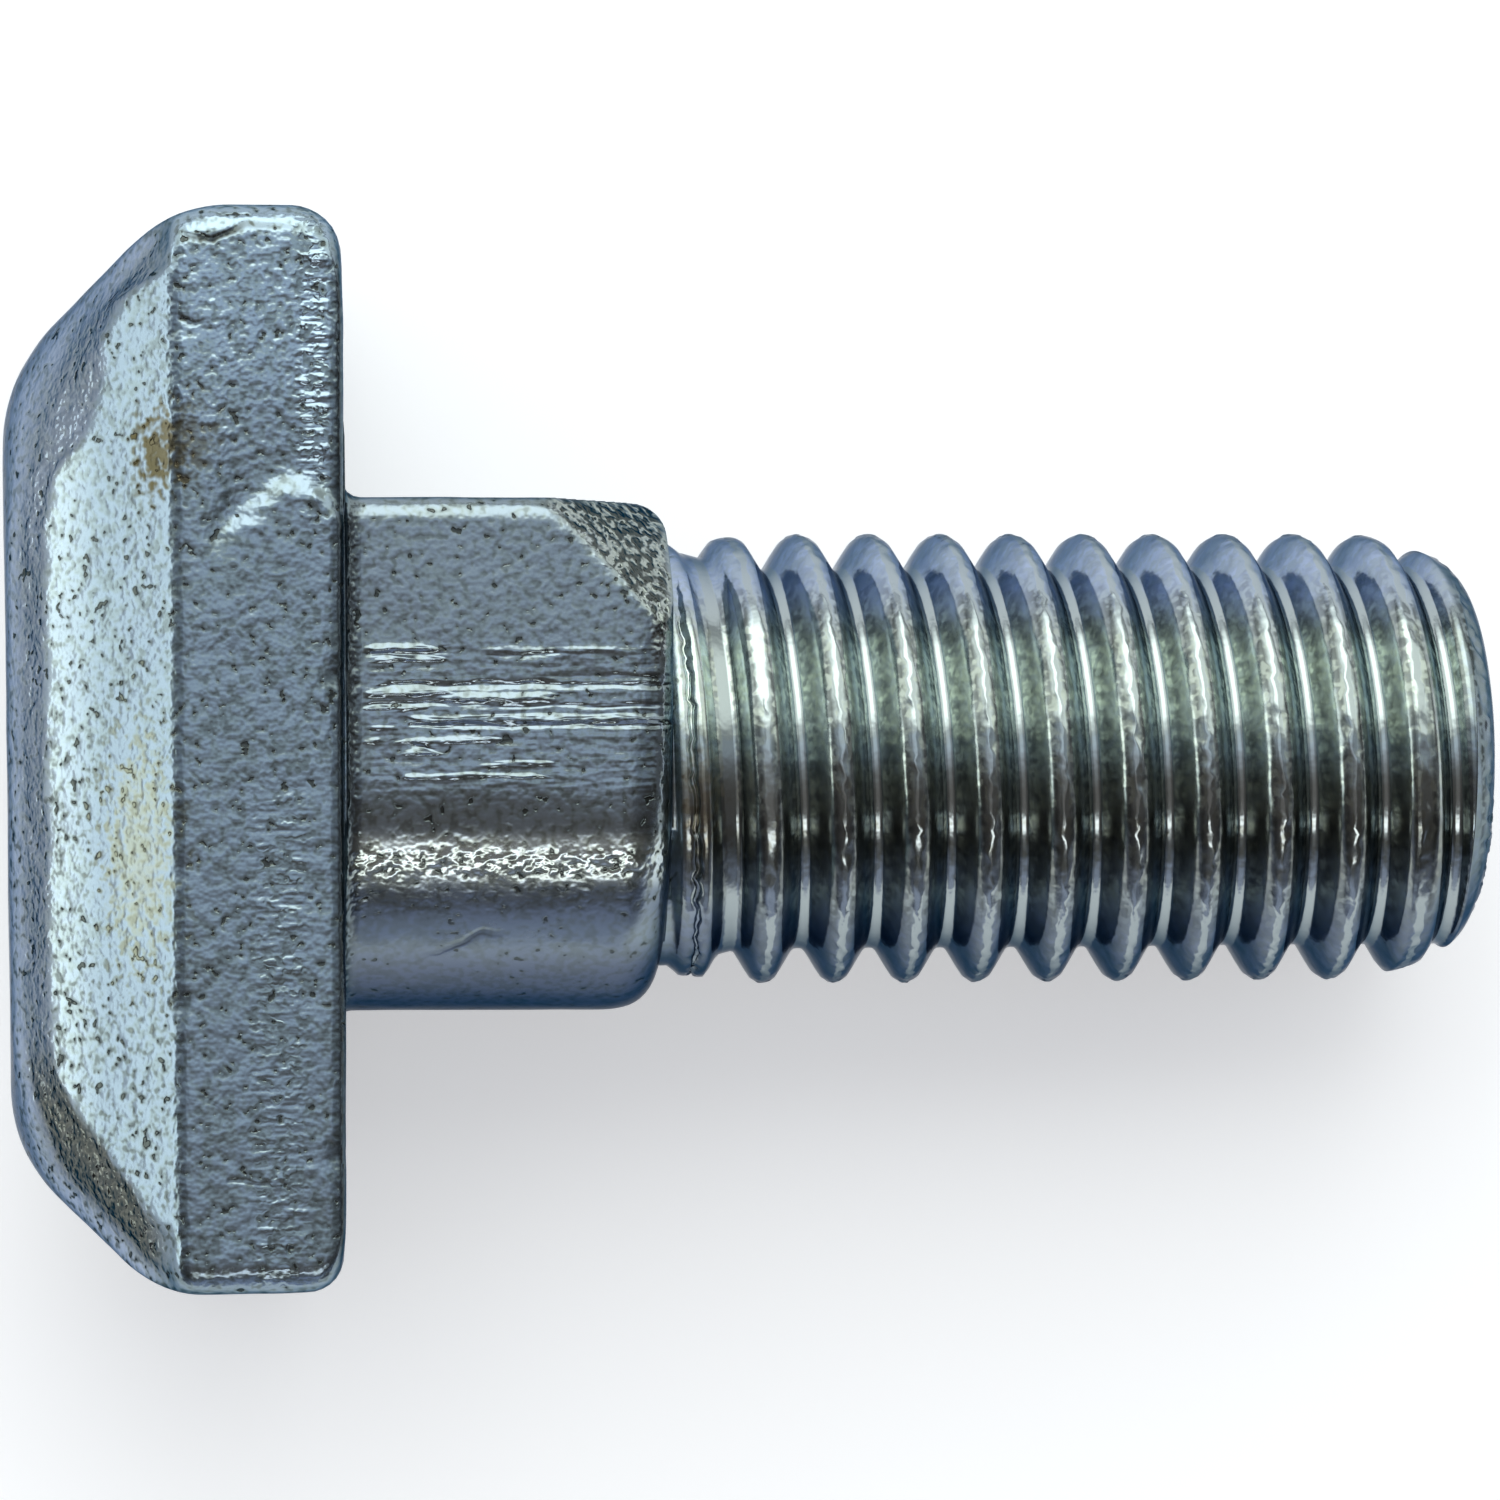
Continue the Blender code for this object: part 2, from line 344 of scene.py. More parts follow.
@dataclass(frozen=True)
class EdgeForm:
    """How one edge of the head rises from the bearing face to the crown.

    height is where the bevel starts. foot, brow and crown are radii, and growth is how much the radius
    of the head's corners grows for each millimetre that the edge is drawn in.
    """

    height: float
    bevel: float
    foot: float
    brow: float
    crown: float
    growth: float

    def outline(self, thickness: float, steps: int) -> np.ndarray:
        """The edge as rows of height and inset.

        The foot is a quarter circle, the side is straight, the brow turns it into the bevel, and the
        crown's arc ends level with the top of the head.

        Args:
            thickness: The head's thickness.
            steps: Points in each arc.

        Returns:
            The outline, from foot to crown.
        """
        turn = np.linspace(0, QUARTER, steps)
        foot = np.column_stack([self.foot * (1 - np.cos(turn)), self.foot * (1 - np.sin(turn))])
        reach = self.brow * math.tan(self.bevel / 2)
        turn = np.linspace(0, self.bevel, steps)
        brow = np.column_stack([
            self.height - reach + self.brow * np.sin(turn),
            self.brow * (1 - np.cos(turn)),
        ])
        inset = (thickness - self.height) * math.tan(self.bevel)
        inset += self.crown * math.tan((QUARTER - self.bevel) / 2)
        turn = np.linspace(self.bevel, QUARTER, steps)
        crown = np.column_stack([
            thickness - self.crown * (1 - np.sin(turn)),
            inset - self.crown * np.cos(turn),
        ])
        return np.vstack([foot, brow, crown])


@dataclass(frozen=True)
class Head:
    """The forged head: an oblong block with a bevel all round its crown."""

    length: float = 18.05
    shift: float = 0.13
    depth: float = 9.7
    thickness: float = 5.56
    slope: float = 0.010
    corner: float = 0.55
    corner_share: float = 0.9
    side: EdgeForm = EdgeForm(2.75, math.radians(45), foot=0.25, brow=0.35, crown=2.5, growth=0.0)
    round_end: EdgeForm = EdgeForm(2.8, math.radians(42.5), foot=0.85, brow=2.6, crown=2.8, growth=0.75)
    crisp_end: EdgeForm = EdgeForm(3.15, math.radians(42.5), foot=0.65, brow=2.0, crown=2.4, growth=0.40)
    end_points: int = 26
    corner_points: int = 16
    side_points: int = 54
    crown_rings: int = 9
    edge_rings: int = 56
    arc_points: int = 40

    @property
    def quadrant(self) -> int:
        """How many points a quarter of a ring has."""
        return self.end_points + self.corner_points + self.side_points

    def heights(self, outlines: list[np.ndarray]) -> np.ndarray:
        """Ring heights from foot to crown, spaced evenly along the mean of the edges' outlines.

        Args:
            outlines: The edges' outlines.

        Returns:
            The heights, rising.
        """
        every = np.unique(np.concatenate(outlines)[:, 0])
        insets = np.mean([np.interp(every, *outline.T) for outline in outlines], axis=0)
        run = np.concatenate([[0], np.cumsum(np.hypot(np.diff(every), np.diff(insets)))])
        return np.interp(np.linspace(0, run[-1], self.edge_rings), run, every)

    def quarter(
        self, y_sign: int, z_sign: int, heights: np.ndarray, side: np.ndarray, end: EdgeForm
    ) -> np.ndarray:
        """A quarter of every ring: a straight run, a quarter ellipse that grows with height, and a run.

        Args:
            y_sign: Which end of the head.
            z_sign: Which long side.
            heights: The rings' heights.
            side: How far the long side is drawn in at each height.
            end: The end's edge.

        Returns:
            An array of rings, points and coordinates.
        """
        drawn = np.interp(heights, *end.outline(self.thickness, self.arc_points).T)
        half_length = self.length / 2 - drawn
        half_depth = self.depth / 2 - side
        radius_y = self.corner + end.growth * drawn
        radius_z = np.minimum(self.corner + end.growth * side, self.corner_share * half_depth)
        straight = np.arange(self.end_points) / self.end_points
        turn = QUARTER * np.arange(self.corner_points) / self.corner_points
        back = np.arange(self.side_points + 1) / self.side_points
        y = np.hstack([
            np.repeat(half_length[:, None], self.end_points, axis=1),
            (half_length - radius_y)[:, None] + radius_y[:, None] * np.cos(turn),
            (half_length - radius_y)[:, None] * (1 - back),
        ])
        z = np.hstack([
            (half_depth - radius_z)[:, None] * straight,
            (half_depth - radius_z)[:, None] + radius_z[:, None] * np.sin(turn),
            np.repeat(half_depth[:, None], self.side_points + 1, axis=1),
        ])
        y = self.shift + y_sign * y
        x = -heights[:, None] * (1 + self.slope * y / self.thickness)
        quarter = np.stack([x, y, z_sign * z], axis=-1)
        return quarter[:, :-1] if y_sign == z_sign else quarter[:, :0:-1]

    def rings(self) -> np.ndarray:
        """All rings from the middle of the crown to the foot.

        Returns:
            An array of rings, points and coordinates.
        """
        edges = (self.side, self.round_end, self.crisp_end)
        outlines = [edge.outline(self.thickness, self.arc_points) for edge in edges]
        heights = self.heights(outlines)[::-1]
        side = np.interp(heights, *outlines[0].T)
        edge_rings = np.hstack([
            self.quarter(y_sign, z_sign, heights, side, self.round_end if y_sign > 0 else self.crisp_end)
            for y_sign, z_sign in ((1, 1), (-1, 1), (-1, -1), (1, -1))
        ])
        share = (np.arange(1, self.crown_rings) / self.crown_rings)[:, None, None]
        crown = self.middle() + share * (edge_rings[0] - self.middle())
        return np.concatenate([crown, edge_rings])

    def middle(self) -> np.ndarray:
        """The middle of the crown."""
        return np.array([-self.thickness - self.slope * self.shift, self.shift, 0.0])


@dataclass(frozen=True)
class Neck:
    """The square neck, with two sharp and two rounded corners that a cone cuts down towards the shank."""

    width: float = 8.65
    length: float = 5.55
    sharp_corner: float = 0.38
    round_corner: float = 4.0
    least_corner: float = 0.05
    fillet: float = 0.3
    sharp_end: float = 0.5
    round_end: float = 0.9
    cone_radius: float = 4.65
    cone_slope: float = 0.63
    seat_rings: int = 6
    fillet_rings: int = 5
    body_rings: int = 24
    end_rings: int = 12
    face_rings: int = 5

    def section(
        self, x: np.ndarray, sharp_inset: np.ndarray, round_inset: np.ndarray, quadrant: int
    ) -> np.ndarray:
        """Rings of the neck: in each quarter a straight run, an arc and a straight run, evenly spaced.

        The insets blend along the ring from the sharp corners to the rounded ones by a sine of twice
        the angle, so the sides stay unbroken.

        Args:
            x: Where the rings stand.
            sharp_inset: How far each ring is drawn in at its sharp corners.
            round_inset: How far it is drawn in at its rounded corners.
            quadrant: Points in a quarter of a ring.

        Returns:
            An array of rings, points and coordinates.
        """
        parts = []
        share = np.arange(quadrant) / quadrant
        for number in range(4):
            weight = 0.5 + 0.5 * np.sin(math.pi * (share + number))
            inset = sharp_inset[:, None] * weight + round_inset[:, None] * (1 - weight)
            corner = self.sharp_corner if number % 2 == 0 else self.round_corner
            radius = np.maximum(corner - inset, self.least_corner)
            run = self.width / 2 - inset - radius
            arc = QUARTER * radius
            walked = share * (2 * run + arc)
            turn = np.clip((walked - run) / radius, 0, QUARTER)
            late = np.maximum(walked - run - arc, 0)
            first = run + radius * np.cos(turn) - late
            second = np.minimum(walked, run) + radius * np.sin(turn)
            cos, sin = ((1, 0), (0, 1), (-1, 0), (0, -1))[number]
            parts.append(np.stack([
                np.repeat(x[:, None], quadrant, axis=1),
                cos * first - sin * second,
                sin * first + cos * second,
            ], axis=-1))
        return np.concatenate(parts, axis=1)

    def end_inset(self, x: np.ndarray, radius: float) -> np.ndarray:
        """How far a rounded end edge of this radius has drawn the section in at x."""
        into = np.clip(x - (self.length - radius), 0, radius)
        return radius - np.sqrt(radius * radius - into * into)

    def rings(self, quadrant: int, blank: float) -> np.ndarray:
        """All rings from the foot of the fillet to the neck's end.

        A section never reaches outside the cone, nor inside the blank that the shank was rolled from.

        Args:
            quadrant: Points in a quarter of a ring.
            blank: The blank's radius.

        Returns:
            An array of rings, points and coordinates.
        """
        turn = np.linspace(0, QUARTER, self.fillet_rings)
        spread = -self.fillet * (1 - np.sin(turn))
        flare = self.section(self.fillet * (1 - np.cos(turn)), spread, spread, quadrant)
        bend = self.length - self.round_end
        body = np.linspace(self.fillet, bend, self.body_rings + 1)[1:]
        end = bend + self.round_end * np.sin(np.linspace(0, QUARTER, self.end_rings + 1)[1:])
        x = np.concatenate([body, end])
        insets = [self.end_inset(x, radius) for radius in (self.sharp_end, self.round_end)]
        rest = self.section(x, *insets, quadrant)
        rings = np.concatenate([flare, rest])
        reach = np.hypot(rings[..., 1], rings[..., 2])
        cone = self.cone_radius + self.cone_slope * (self.length - rings[..., 0])
        wanted = np.maximum(np.minimum(reach, cone), blank)
        rings[..., 1:] *= (wanted / reach)[..., None]
        return rings


@dataclass(frozen=True)
class Shank:
    """The rolled shank: a right-hand thread with its run-out, on a blank, with a rounded tip."""

    start: float = 5.55
    length: float = 19.97
    crest: float = 3.92
    pitch: float = 1.25
    depth: float = 0.62
    crest_half: float = 0.22
    crest_drop: float = 0.12
    crest_power: float = 1.42
    root_half: float = 0.10
    blank_step: float = 0.34
    blank_show: float = 0.5
    runout: float = 2.4
    runout_loss: float = 0.32
    runout_reach: float = 1.0
    lead_in: float = 1.28
    chamfer: float = 2.1
    tip: Line = ((1.1, 3.69), (0.6, 3.49), (0.2, 3.12), (0.0, 2.1))
    tip_cuts: int = 3
    tip_hub: float = 0.3
    clear: float = 0.05
    root_rounding: float = 0.030
    columns: int = 244
    rows: tuple[float, ...] = (0.03, 0.075, 0.135, 0.205, 0.30, 0.41, 0.49, 0.555)
    turns_before: int = 3

    @property
    def blank(self) -> float:
        """The radius of the blank."""
        return self.crest - self.blank_step

    def crest_offset(self, x: np.ndarray, turn: np.ndarray) -> np.ndarray:
        """Distance along the bolt from the nearest crest. The crest gains one pitch a turn.

        Args:
            x: Where the points stand.
            turn: Their angle from +Y towards +Z, in turns.

        Returns:
            The signed distance.
        """
        phase = (x - self.start - self.lead_in) / self.pitch - turn
        return (phase - np.round(phase)) * self.pitch

    def profile(self, offset: np.ndarray) -> np.ndarray:
        """The thread's radius at a distance from its crest.

        The crest falls off by a power of the distance, the flank is straight, and the root is flat
        with rounded corners.

        Args:
            offset: Distance from the crest along the bolt.

        Returns:
            The radius.
        """
        away = np.abs(offset)
        root = self.crest - self.depth
        run = self.pitch / 2 - self.root_half - self.crest_half
        fall = (away - self.crest_half) * (self.depth - self.crest_drop) / run
        flank = self.crest - self.crest_drop - fall
        crown = self.crest - self.crest_drop * (away / self.crest_half) ** self.crest_power
        ridge = np.where(away < self.crest_half, crown, flank)
        return soft_max(ridge, np.full_like(away, root), self.root_rounding)

    def radius(self, x: np.ndarray, turn: np.ndarray) -> np.ndarray:
        """The shank's radius: the thread inside its envelope, and never less than the blank.

        Args:
            x: Where the points stand.
            turn: Their angle from +Y towards +Z, in turns.

        Returns:
            The radius at each point.
        """
        back = self.length - self.chamfer
        ends = [(self.start - self.runout_reach, self.crest - self.runout_loss)]
        ends += [(self.start + self.runout, self.crest + self.clear), (back, self.crest + self.clear)]
        ends += [(self.length - distance, radius) for distance, radius in self.tip]
        envelope = np.interp(x, *np.array(ends).T)
        core = self.crest - self.depth - self.clear
        shown = self.start + self.blank_show
        places = [shown, shown + self.runout / 2, back]
        stock = np.interp(x, places, [self.blank, core, core - self.clear])
        thread = -soft_max(-self.profile(self.crest_offset(x, turn)), -envelope, self.root_rounding)
        bare = np.minimum(stock, envelope)
        return soft_max(thread, bare, self.root_rounding / 2)

    def around(self, x: np.ndarray, turn: np.ndarray, radius: np.ndarray) -> np.ndarray:
        """Points at a distance from the bolt's axis, at an angle in turns from +Y towards +Z."""
        angle = 2 * math.pi * turn
        return np.stack([x, radius * np.cos(angle), radius * np.sin(angle)], axis=-1)

    def ring(self, x: float, turn: np.ndarray) -> np.ndarray:
        """One ring of the shank's surface at x."""
        along = np.full(len(turn), x)
        return self.around(along, turn, self.radius(along, turn))

    def wind(self, skin: Skin, ends_at: float) -> tuple[np.ndarray, np.ndarray]:
        """Lays the threaded stretch as a grid whose rows follow the thread's own lines.

        Row i is a line at a set distance from a crest, and gains one pitch over its columns, so its
        last column runs on into the row one pitch further. Rows are cut off at both ends of the
        stretch, where all points of a column that lie outside it are one point of the end ring.

        Args:
            skin: Takes in the points and faces.
            ends_at: Where the stretch ends.

        Returns:
            The indices of its first and last rings.
        """
        offsets = np.array([-self.pitch / 2, *(-row for row in self.rows[::-1]), 0.0, *self.rows])
        first = self.start + self.lead_in - self.turns_before * self.pitch
        turns = math.ceil((ends_at - first) / self.pitch) + 2
        share = np.arange(self.columns) / self.columns
        starts = first + self.pitch * np.arange(turns)
        x = (starts[:, None] + offsets).reshape(-1, 1) + self.pitch * share
        turn = np.broadcast_to(share, x.shape)
        before, after = x <= self.start, x >= ends_at
        inside = ~(before | after)
        low = skin.add(self.ring(self.start, share))
        middle = skin.add(self.around(x[inside], turn[inside], self.radius(x[inside], turn[inside])))
        high = skin.add(self.ring(ends_at, share))
        index = np.zeros(x.shape, dtype=int)
        index[inside] = middle
        index[before] = np.broadcast_to(low, x.shape)[before]
        index[after] = np.broadcast_to(high, x.shape)[after]
        skin.quads(index[:-1, :-1], index[:-1, 1:], index[1:, 1:], index[1:, :-1])
        step = len(offsets)
        skin.quads(
            index[:-1 - step, -1], index[step:-1, 0], index[step + 1:, 0], index[1:-step, -1]
        )
        return low, high

    def tip_rings(self, starts_at: float) -> np.ndarray:
        """The rings of the rounded tip and its flat end, past the threaded stretch.

        Args:
            starts_at: Where the threaded stretch ends.

        Returns:
            An array of rings, points and coordinates.
        """
        corners = [(self.length - distance, radius) for distance, radius in self.tip[1:]]
        outline = corner_cut(np.array([*corners, (self.length, 0.0)]), self.tip_cuts)
        outline = outline[(outline[:, 0] > starts_at) & (outline[:, 1] > self.tip_hub)]
        share = np.broadcast_to(np.arange(self.columns) / self.columns, (len(outline), self.columns))
        x = np.repeat(outline[:, :1], self.columns, axis=1)
        return self.around(x, share, np.minimum(outline[:, 1:], self.radius(x, share)))


# Where parts of the bolt lie, as spans that Surface.share takes
HEAD: dict[str, Span] = {"x": (0.08, -0.08)}
NECK: dict[str, Span] = {"x": (0.0, 0.2, 5.4, 5.6)}
INNER_NECK: dict[str, Span] = {"x": (0.3, 0.5, 5.4, 5.6)}
BEVEL: dict[str, Span] = {"x": (-2.72, -2.92)}
LONG_SIDE: dict[str, Span] = {**HEAD, "z": (4.4, 4.7)}
BEARING_EDGE: dict[str, Span] = {"reach": (4.6, 4.8), "facing": (0.97, 0.85)}
CUT_CORNER: dict[str, Span] = {**INNER_NECK, "facing": (0.22, 0.42), "reach": (4.40, 4.70)}
CRISP_END: dict[str, Span] = {"y": (-4.4, -6.0)}
# LEE is a band on the thread's lower side where painted shade dims the rolled colour and the polish.
LEE: dict[str, Span] = {"y": (-2.5, -2.0, -1.2, -0.8)}


@dataclass
class Surface:
    """The skin's points and normals in the bolt's axes, with values that tell where on the bolt each is.

    reach is a point's distance from the bolt's axis and away its distance from the nearest crest, along
    the bolt. lean is how much of its normal lies along Z and facing how much of it lies along X.
    """

    points: np.ndarray
    normals: np.ndarray
    shank: Shank

    def __post_init__(self) -> None:
        """Works out the values that spans are given in."""
        self.x, self.y, self.z = self.points.T
        self.reach = np.hypot(self.y, self.z)
        self.lean = np.abs(self.normals[:, 2])
        self.facing = self.normals[:, 0]
        turn = np.arctan2(self.z, self.y) / (2 * math.pi)
        self.away = np.abs(self.shank.crest_offset(self.x, turn))

    def share(self, **spans: Span) -> np.ndarray:
        """How far each point lies within all of these spans, as a product of smooth steps.

        Args:
            **spans: For each value, where its step starts and ends, as smooth_step takes them. A band has
                two numbers more: where it starts to fall off and where it ends.

        Returns:
            The share of each point, from 0 to 1.
        """
        total = np.ones(len(self.points))
        for name, span in spans.items():
            value = getattr(self, name)
            total = total * smooth_step(value, span[0], span[1])
            if len(span) == 4:
                total = total * smooth_step(value, span[3], span[2])
        return total


@dataclass(frozen=True)
class Relief:
    """What forging, rolling and handling left on the bolt, as heights along its outward normals."""

    swell: Noise = Noise(0.016, 2.1, 3, 0.6)
    ripple: Noise = Noise(0.007, 0.55, 5)
    ragged: Noise = Noise(0.030, 0.33, 7)
    torn: tuple[Noise, ...] = (Noise(0.07, 0.34, 19), Noise(0.05, 0.16, 23))
    torn_edge: Span = (-0.04, 0.08)
    hip_path: Line = (
        (-7.88, -2.79), (-7.70, -3.13), (-6.95, -3.67), (-6.11, -4.27), (-5.20, -4.78), (-4.45, -4.85),
        (-2.63, -4.87), (-0.69, -4.90), (1.99, -4.90), (3.77, -4.90), (4.71, -4.77), (5.26, -4.33),
        (6.20, -3.97), (6.96, -3.97), (7.60, -3.72), (7.81, -3.34), (8.06, -2.94),
    )
    hip_ends: float = -2.7
    hip_sink: float = 0.20
    hip_reach: float = 0.45
    ridge_path: Line = (
        (-2.10, 3.55), (-1.85, 3.92), (-1.42, 4.30), (-0.95, 4.66), (-0.60, 4.60), (-0.39, 4.45),
        (-0.10, 4.20),
    )
    wander: tuple[Noise, ...] = (Noise(0.07, 0.30, 29), Noise(0.04, 0.13, 31))
    ridge_sink: float = 0.085
    sink_reach: float = 1.1
    ridge_rise: float = 0.040
    rise_reach: float = 2.4
    ridge_top: float = 0.06
    ridge_width: float = 0.30
    nicks: tuple[tuple[float, float, float, float], ...] = (
        (-2.64, 7.08, 0.09, 0.05), (-2.38, 6.98, 0.08, 0.03), (-2.72, -4.05, 0.14, 0.06),
        (-2.75, -1.9, 0.16, 0.04), (-0.18, -6.60, 0.16, 0.05), (-0.16, 1.30, 0.15, 0.06),
    )
    crest_shift: Noise = Noise(0.064, 0.14, 11)
    crest_wear: Noise = Noise(0.022, 0.16, 13)
    shank_swell: Noise = Noise(0.008, 1.1, 17, 0.5)
    lap_depth: float = 0.09
    lap_width: float = 0.05

    def shoulder(self, surface: Surface) -> np.ndarray:
        """How much a point belongs to the crown's rounded shoulder or to a hip between two bevels.

        It is 1 where the surface has turned so far that little of its normal points along Z, and falls
        off towards the long bevels, the crown and the sides.

        Args:
            surface: The skin's surface.

        Returns:
            The share, from 0 to 1.
        """
        torn = sum(noise.at(surface.points) for noise in self.torn)
        over = smooth_step(self.past_hip(surface) + torn, *self.torn_edge)
        over = over * surface.share(lean=(0.25, 0.47), z=(0.5, 1.5))
        band = surface.share(lean=(0.25, 0.47, 0.50, 0.64))
        return surface.share(x=(-2.9, -3.5)) * np.maximum(band, over)

    def past_hip(self, surface: Surface) -> np.ndarray:
        """How far a point lies past the line where the upper long bevel ends, towards the crown."""
        line = np.interp(surface.y, *np.array(self.hip_path).T, left=self.hip_ends, right=self.hip_ends)
        return line - surface.x

    def hips(self, surface: Surface) -> np.ndarray:
        """The upper bevel's worn border: past its line the surface sinks, quickly at first.

        Args:
            surface: The skin's surface.

        Returns:
            The height at each point.
        """
        past = np.maximum(self.past_hip(surface), 0)
        fade = surface.share(z=(0.8, 2.6), x=(-2.75, -3.0), lean=(0.10, 0.42))
        return -self.hip_sink * (1 - np.exp(-past / self.hip_reach)) * fade

    def forging(self, surface: Surface) -> np.ndarray:
        """The forged skin's unevenness: a slow swell, a ripple, and a ragged edge round the crown.

        Args:
            surface: The skin's surface.

        Returns:
            The height at each point.
        """
        even = self.swell.at(surface.points) + self.ripple.at(surface.points)
        return even + self.shoulder(surface) * self.ragged.at(surface.points)

    def above_ridge(self, surface: Surface) -> np.ndarray:
        """How far a point lies from the curved lap towards +Y, along a lap that wanders a little."""
        line = np.interp(surface.x, *np.array(self.ridge_path).T)
        return surface.y - line + sum(noise.at(surface.points) for noise in self.wander)

    def ridge(self, surface: Surface) -> np.ndarray:
        """The curved lap on the long side: a sunk slope above a short steep rise, and a long slope below.

        Args:
            surface: The skin's surface.

        Returns:
            The height at each point.
        """
        above = self.above_ridge(surface)
        sink = -self.ridge_sink * np.exp(-np.maximum(above, 0) / self.sink_reach)
        rise = self.ridge_rise * np.exp(np.minimum(above, 0) / self.rise_reach)
        share = smooth_step(above, self.ridge_top, self.ridge_top - self.ridge_width)
        fade = surface.share(x=(-2.35, -1.75, -0.15, 0.05), z=(4.2, 4.6))
        return fade * (sink * (1 - share) + rise * share)

    def dinged(self, surface: Surface) -> np.ndarray:
        """Small round dings on the long side that faces up. Each is a bell-shaped hollow.

        Args:
            surface: The skin's surface.

        Returns:
            The height at each point.
        """
        total = np.zeros(len(surface.points))
        for along, across, width, depth in self.nicks:
            total -= depth * hump(np.hypot(surface.x - along, surface.y - across), width)
        return total * surface.share(z=(4.0, 4.5))

    def height(self, surface: Surface) -> np.ndarray:
        """All relief of the forged head and neck, none on the shank.

        Args:
            surface: The skin's surface.

        Returns:
            The height at each point, positive outwards.
        """
        start = surface.shank.start
        forged = self.forging(surface) + self.hips(surface)
        marked = self.ridge(surface) + self.dinged(surface)
        return (forged + marked) * surface.share(x=(start, start - 0.5))

    def rolled(self, surface: Surface) -> np.ndarray:
        """Moves the shank's points: crests wander along the bolt, are worn, and open in a lap at first.

        Args:
            surface: The skin's surface.

        Returns:
            How far each point moves.
        """
        start = surface.shank.start
        shank = surface.share(x=(start + 0.1, start + 0.3))
        crest = surface.share(away=(0.17, 0.03))
        along = self.crest_shift.at(surface.points) * crest * shank
        worn = crest * np.maximum(self.crest_wear.at(surface.points), 0)
        lap = hump(surface.away, self.lap_width) * surface.share(x=(start + 1.1, start + 0.5))
        inward = worn - self.shank_swell.at(surface.points) + self.lap_depth * lap
        outward = -inward * shank / surface.reach.clip(0.1)
        return np.stack([along, outward * surface.y, outward * surface.z], axis=-1)


@dataclass(frozen=True)
class Tints:
    """The steel's colour from place to place: blue-grey zinc, paler where it was rolled, with painted
    shade, painted highlights and painted reflections laid over it.
    """

    zinc: Colour = (0.255, 0.325, 0.385)
    neck: Colour = (0.245, 0.300, 0.345)
    round_end: Colour = (0.33, 0.43, 0.52)
    bevel: Colour = (0.208, 0.264, 0.316)
    brink: Colour = (0.340, 0.410, 0.460)
    crisp_end: Colour = (0.210, 0.266, 0.318)
    # Painted reflection: a purple-blue colour where the surface turns away from Z, over the crown.
    crown: Colour = (0.335, 0.405, 0.525)
    border: Colour = (0.165, 0.160, 0.125)
    # Painted shade: a dark navy rim along the bearing face's edge, standing in for a dark reflection.
    edge: Colour = (0.035, 0.055, 0.085)
    # Painted highlight: a pale colour along the neck's lower corner, where a lamp's reflection falls.
    corner: Colour = (0.57, 0.66, 0.68)
    cut: Colour = (0.60, 0.68, 0.70)
    rolled: Colour = (0.490, 0.560, 0.560)
    # Painted reflection: a bluer colour on the thread's upper side.
    painted_blue_reflection: Colour = (0.39, 0.47, 0.63)
    # Painted shade over the rolled thread on a band of its lower side, where it dims reflections.
    shade: Colour = (0.30, 0.325, 0.325)
    # Painted shade: a darker colour for the lower side of the neck and shank.
    painted_low_shade: Colour = (0.16, 0.195, 0.265)
    # Painted shade: a still darker colour along the neck's lowest edge.
    below: Colour = (0.125, 0.150, 0.205)

    def over(self, surface: Surface, shoulder: np.ndarray) -> np.ndarray:
        """The colour at each point: zinc, with each other colour laid over it where it belongs.

        Args:
            surface: The skin's surface.
            shoulder: How much each point belongs to the crown's shoulder or a hip.

        Returns:
            A colour for each point.
        """
        share = surface.share
        turned = np.maximum(share(lean=(0.56, 0.36)), shoulder)
        rolled = share(x=(5.5, 5.8, 19.0, 19.4), reach=(3.99, 3.95))
        # under is where painted shade darkens the lower side, more on the shank than on the neck.
        under = share(x=(0.0, 0.3), y=(-1.7, -3.0)) * (0.75 + 0.18 * share(x=(5.5, 5.8)))
        on_neck = share(x=(0.1, 0.3, 5.5, 5.8))
        coats = (
            (self.round_end, share(y=(4.0, 7.5)) * 0.8),
            (self.bevel, share(**BEVEL)),
            (self.crisp_end, share(**BEVEL, y=(-2.0, -6.0))),
            (self.brink, share(x=(-3.9, -4.8)) * 0.9),
            # Painted reflection over the crown, where the surface turns away from Z.
            (self.crown, turned * share(x=(-3.0, -3.4))),
            (self.border, shoulder * (0.12 + 0.70 * share(**CRISP_END))),
            # Painted shade along the bearing face's rim.
            (self.edge, share(x=(-0.17, -0.10, 0.02, 0.06), **BEARING_EDGE) * 0.9),
            (self.neck, share(x=(0.06, 0.2))),
            # Painted highlight along the neck's lower corner.
            (self.corner, share(x=(0.0, 0.2, 5.3, 5.5), y=(-2.3, -2.0, -1.5, -1.2), z=(0.0, 1.0))),
            (self.cut, share(**CUT_CORNER)),
            (self.rolled, rolled),
            # Painted reflection on the thread's upper side.
            (self.painted_blue_reflection, rolled * share(y=(2.0, 3.0))),
            # Painted shade on the thread's lower band.
            (self.shade, rolled * share(**LEE) * 0.85),
            # Painted shade on the lower side, lifted along a band at y = -2.95 on the neck that stays
            # lighter.
            (self.painted_low_shade, under * (1 - 0.85 * on_neck * hump(surface.y + 2.95, 0.40))),
            # Painted shade along the neck's lowest edge.
            (self.below, on_neck * share(y=(-3.05, -3.75))),
        )
        colour = np.broadcast_to(np.array(self.zinc), surface.points.shape)
        for coat, cover in coats:
            colour = colour + (np.array(coat) - colour) * cover[:, None]
        return colour


def added(name: str, data: bpy.types.ID) -> bpy.types.Object:
    """Makes an object of a mesh or a camera, and links it to the scene.

    Args:
        name: The object's name.
        data: The mesh or camera.

    Returns:
        The object.
    """
    made = bpy.data.objects.new(name, data)
    bpy.context.scene.collection.objects.link(made)
    return made


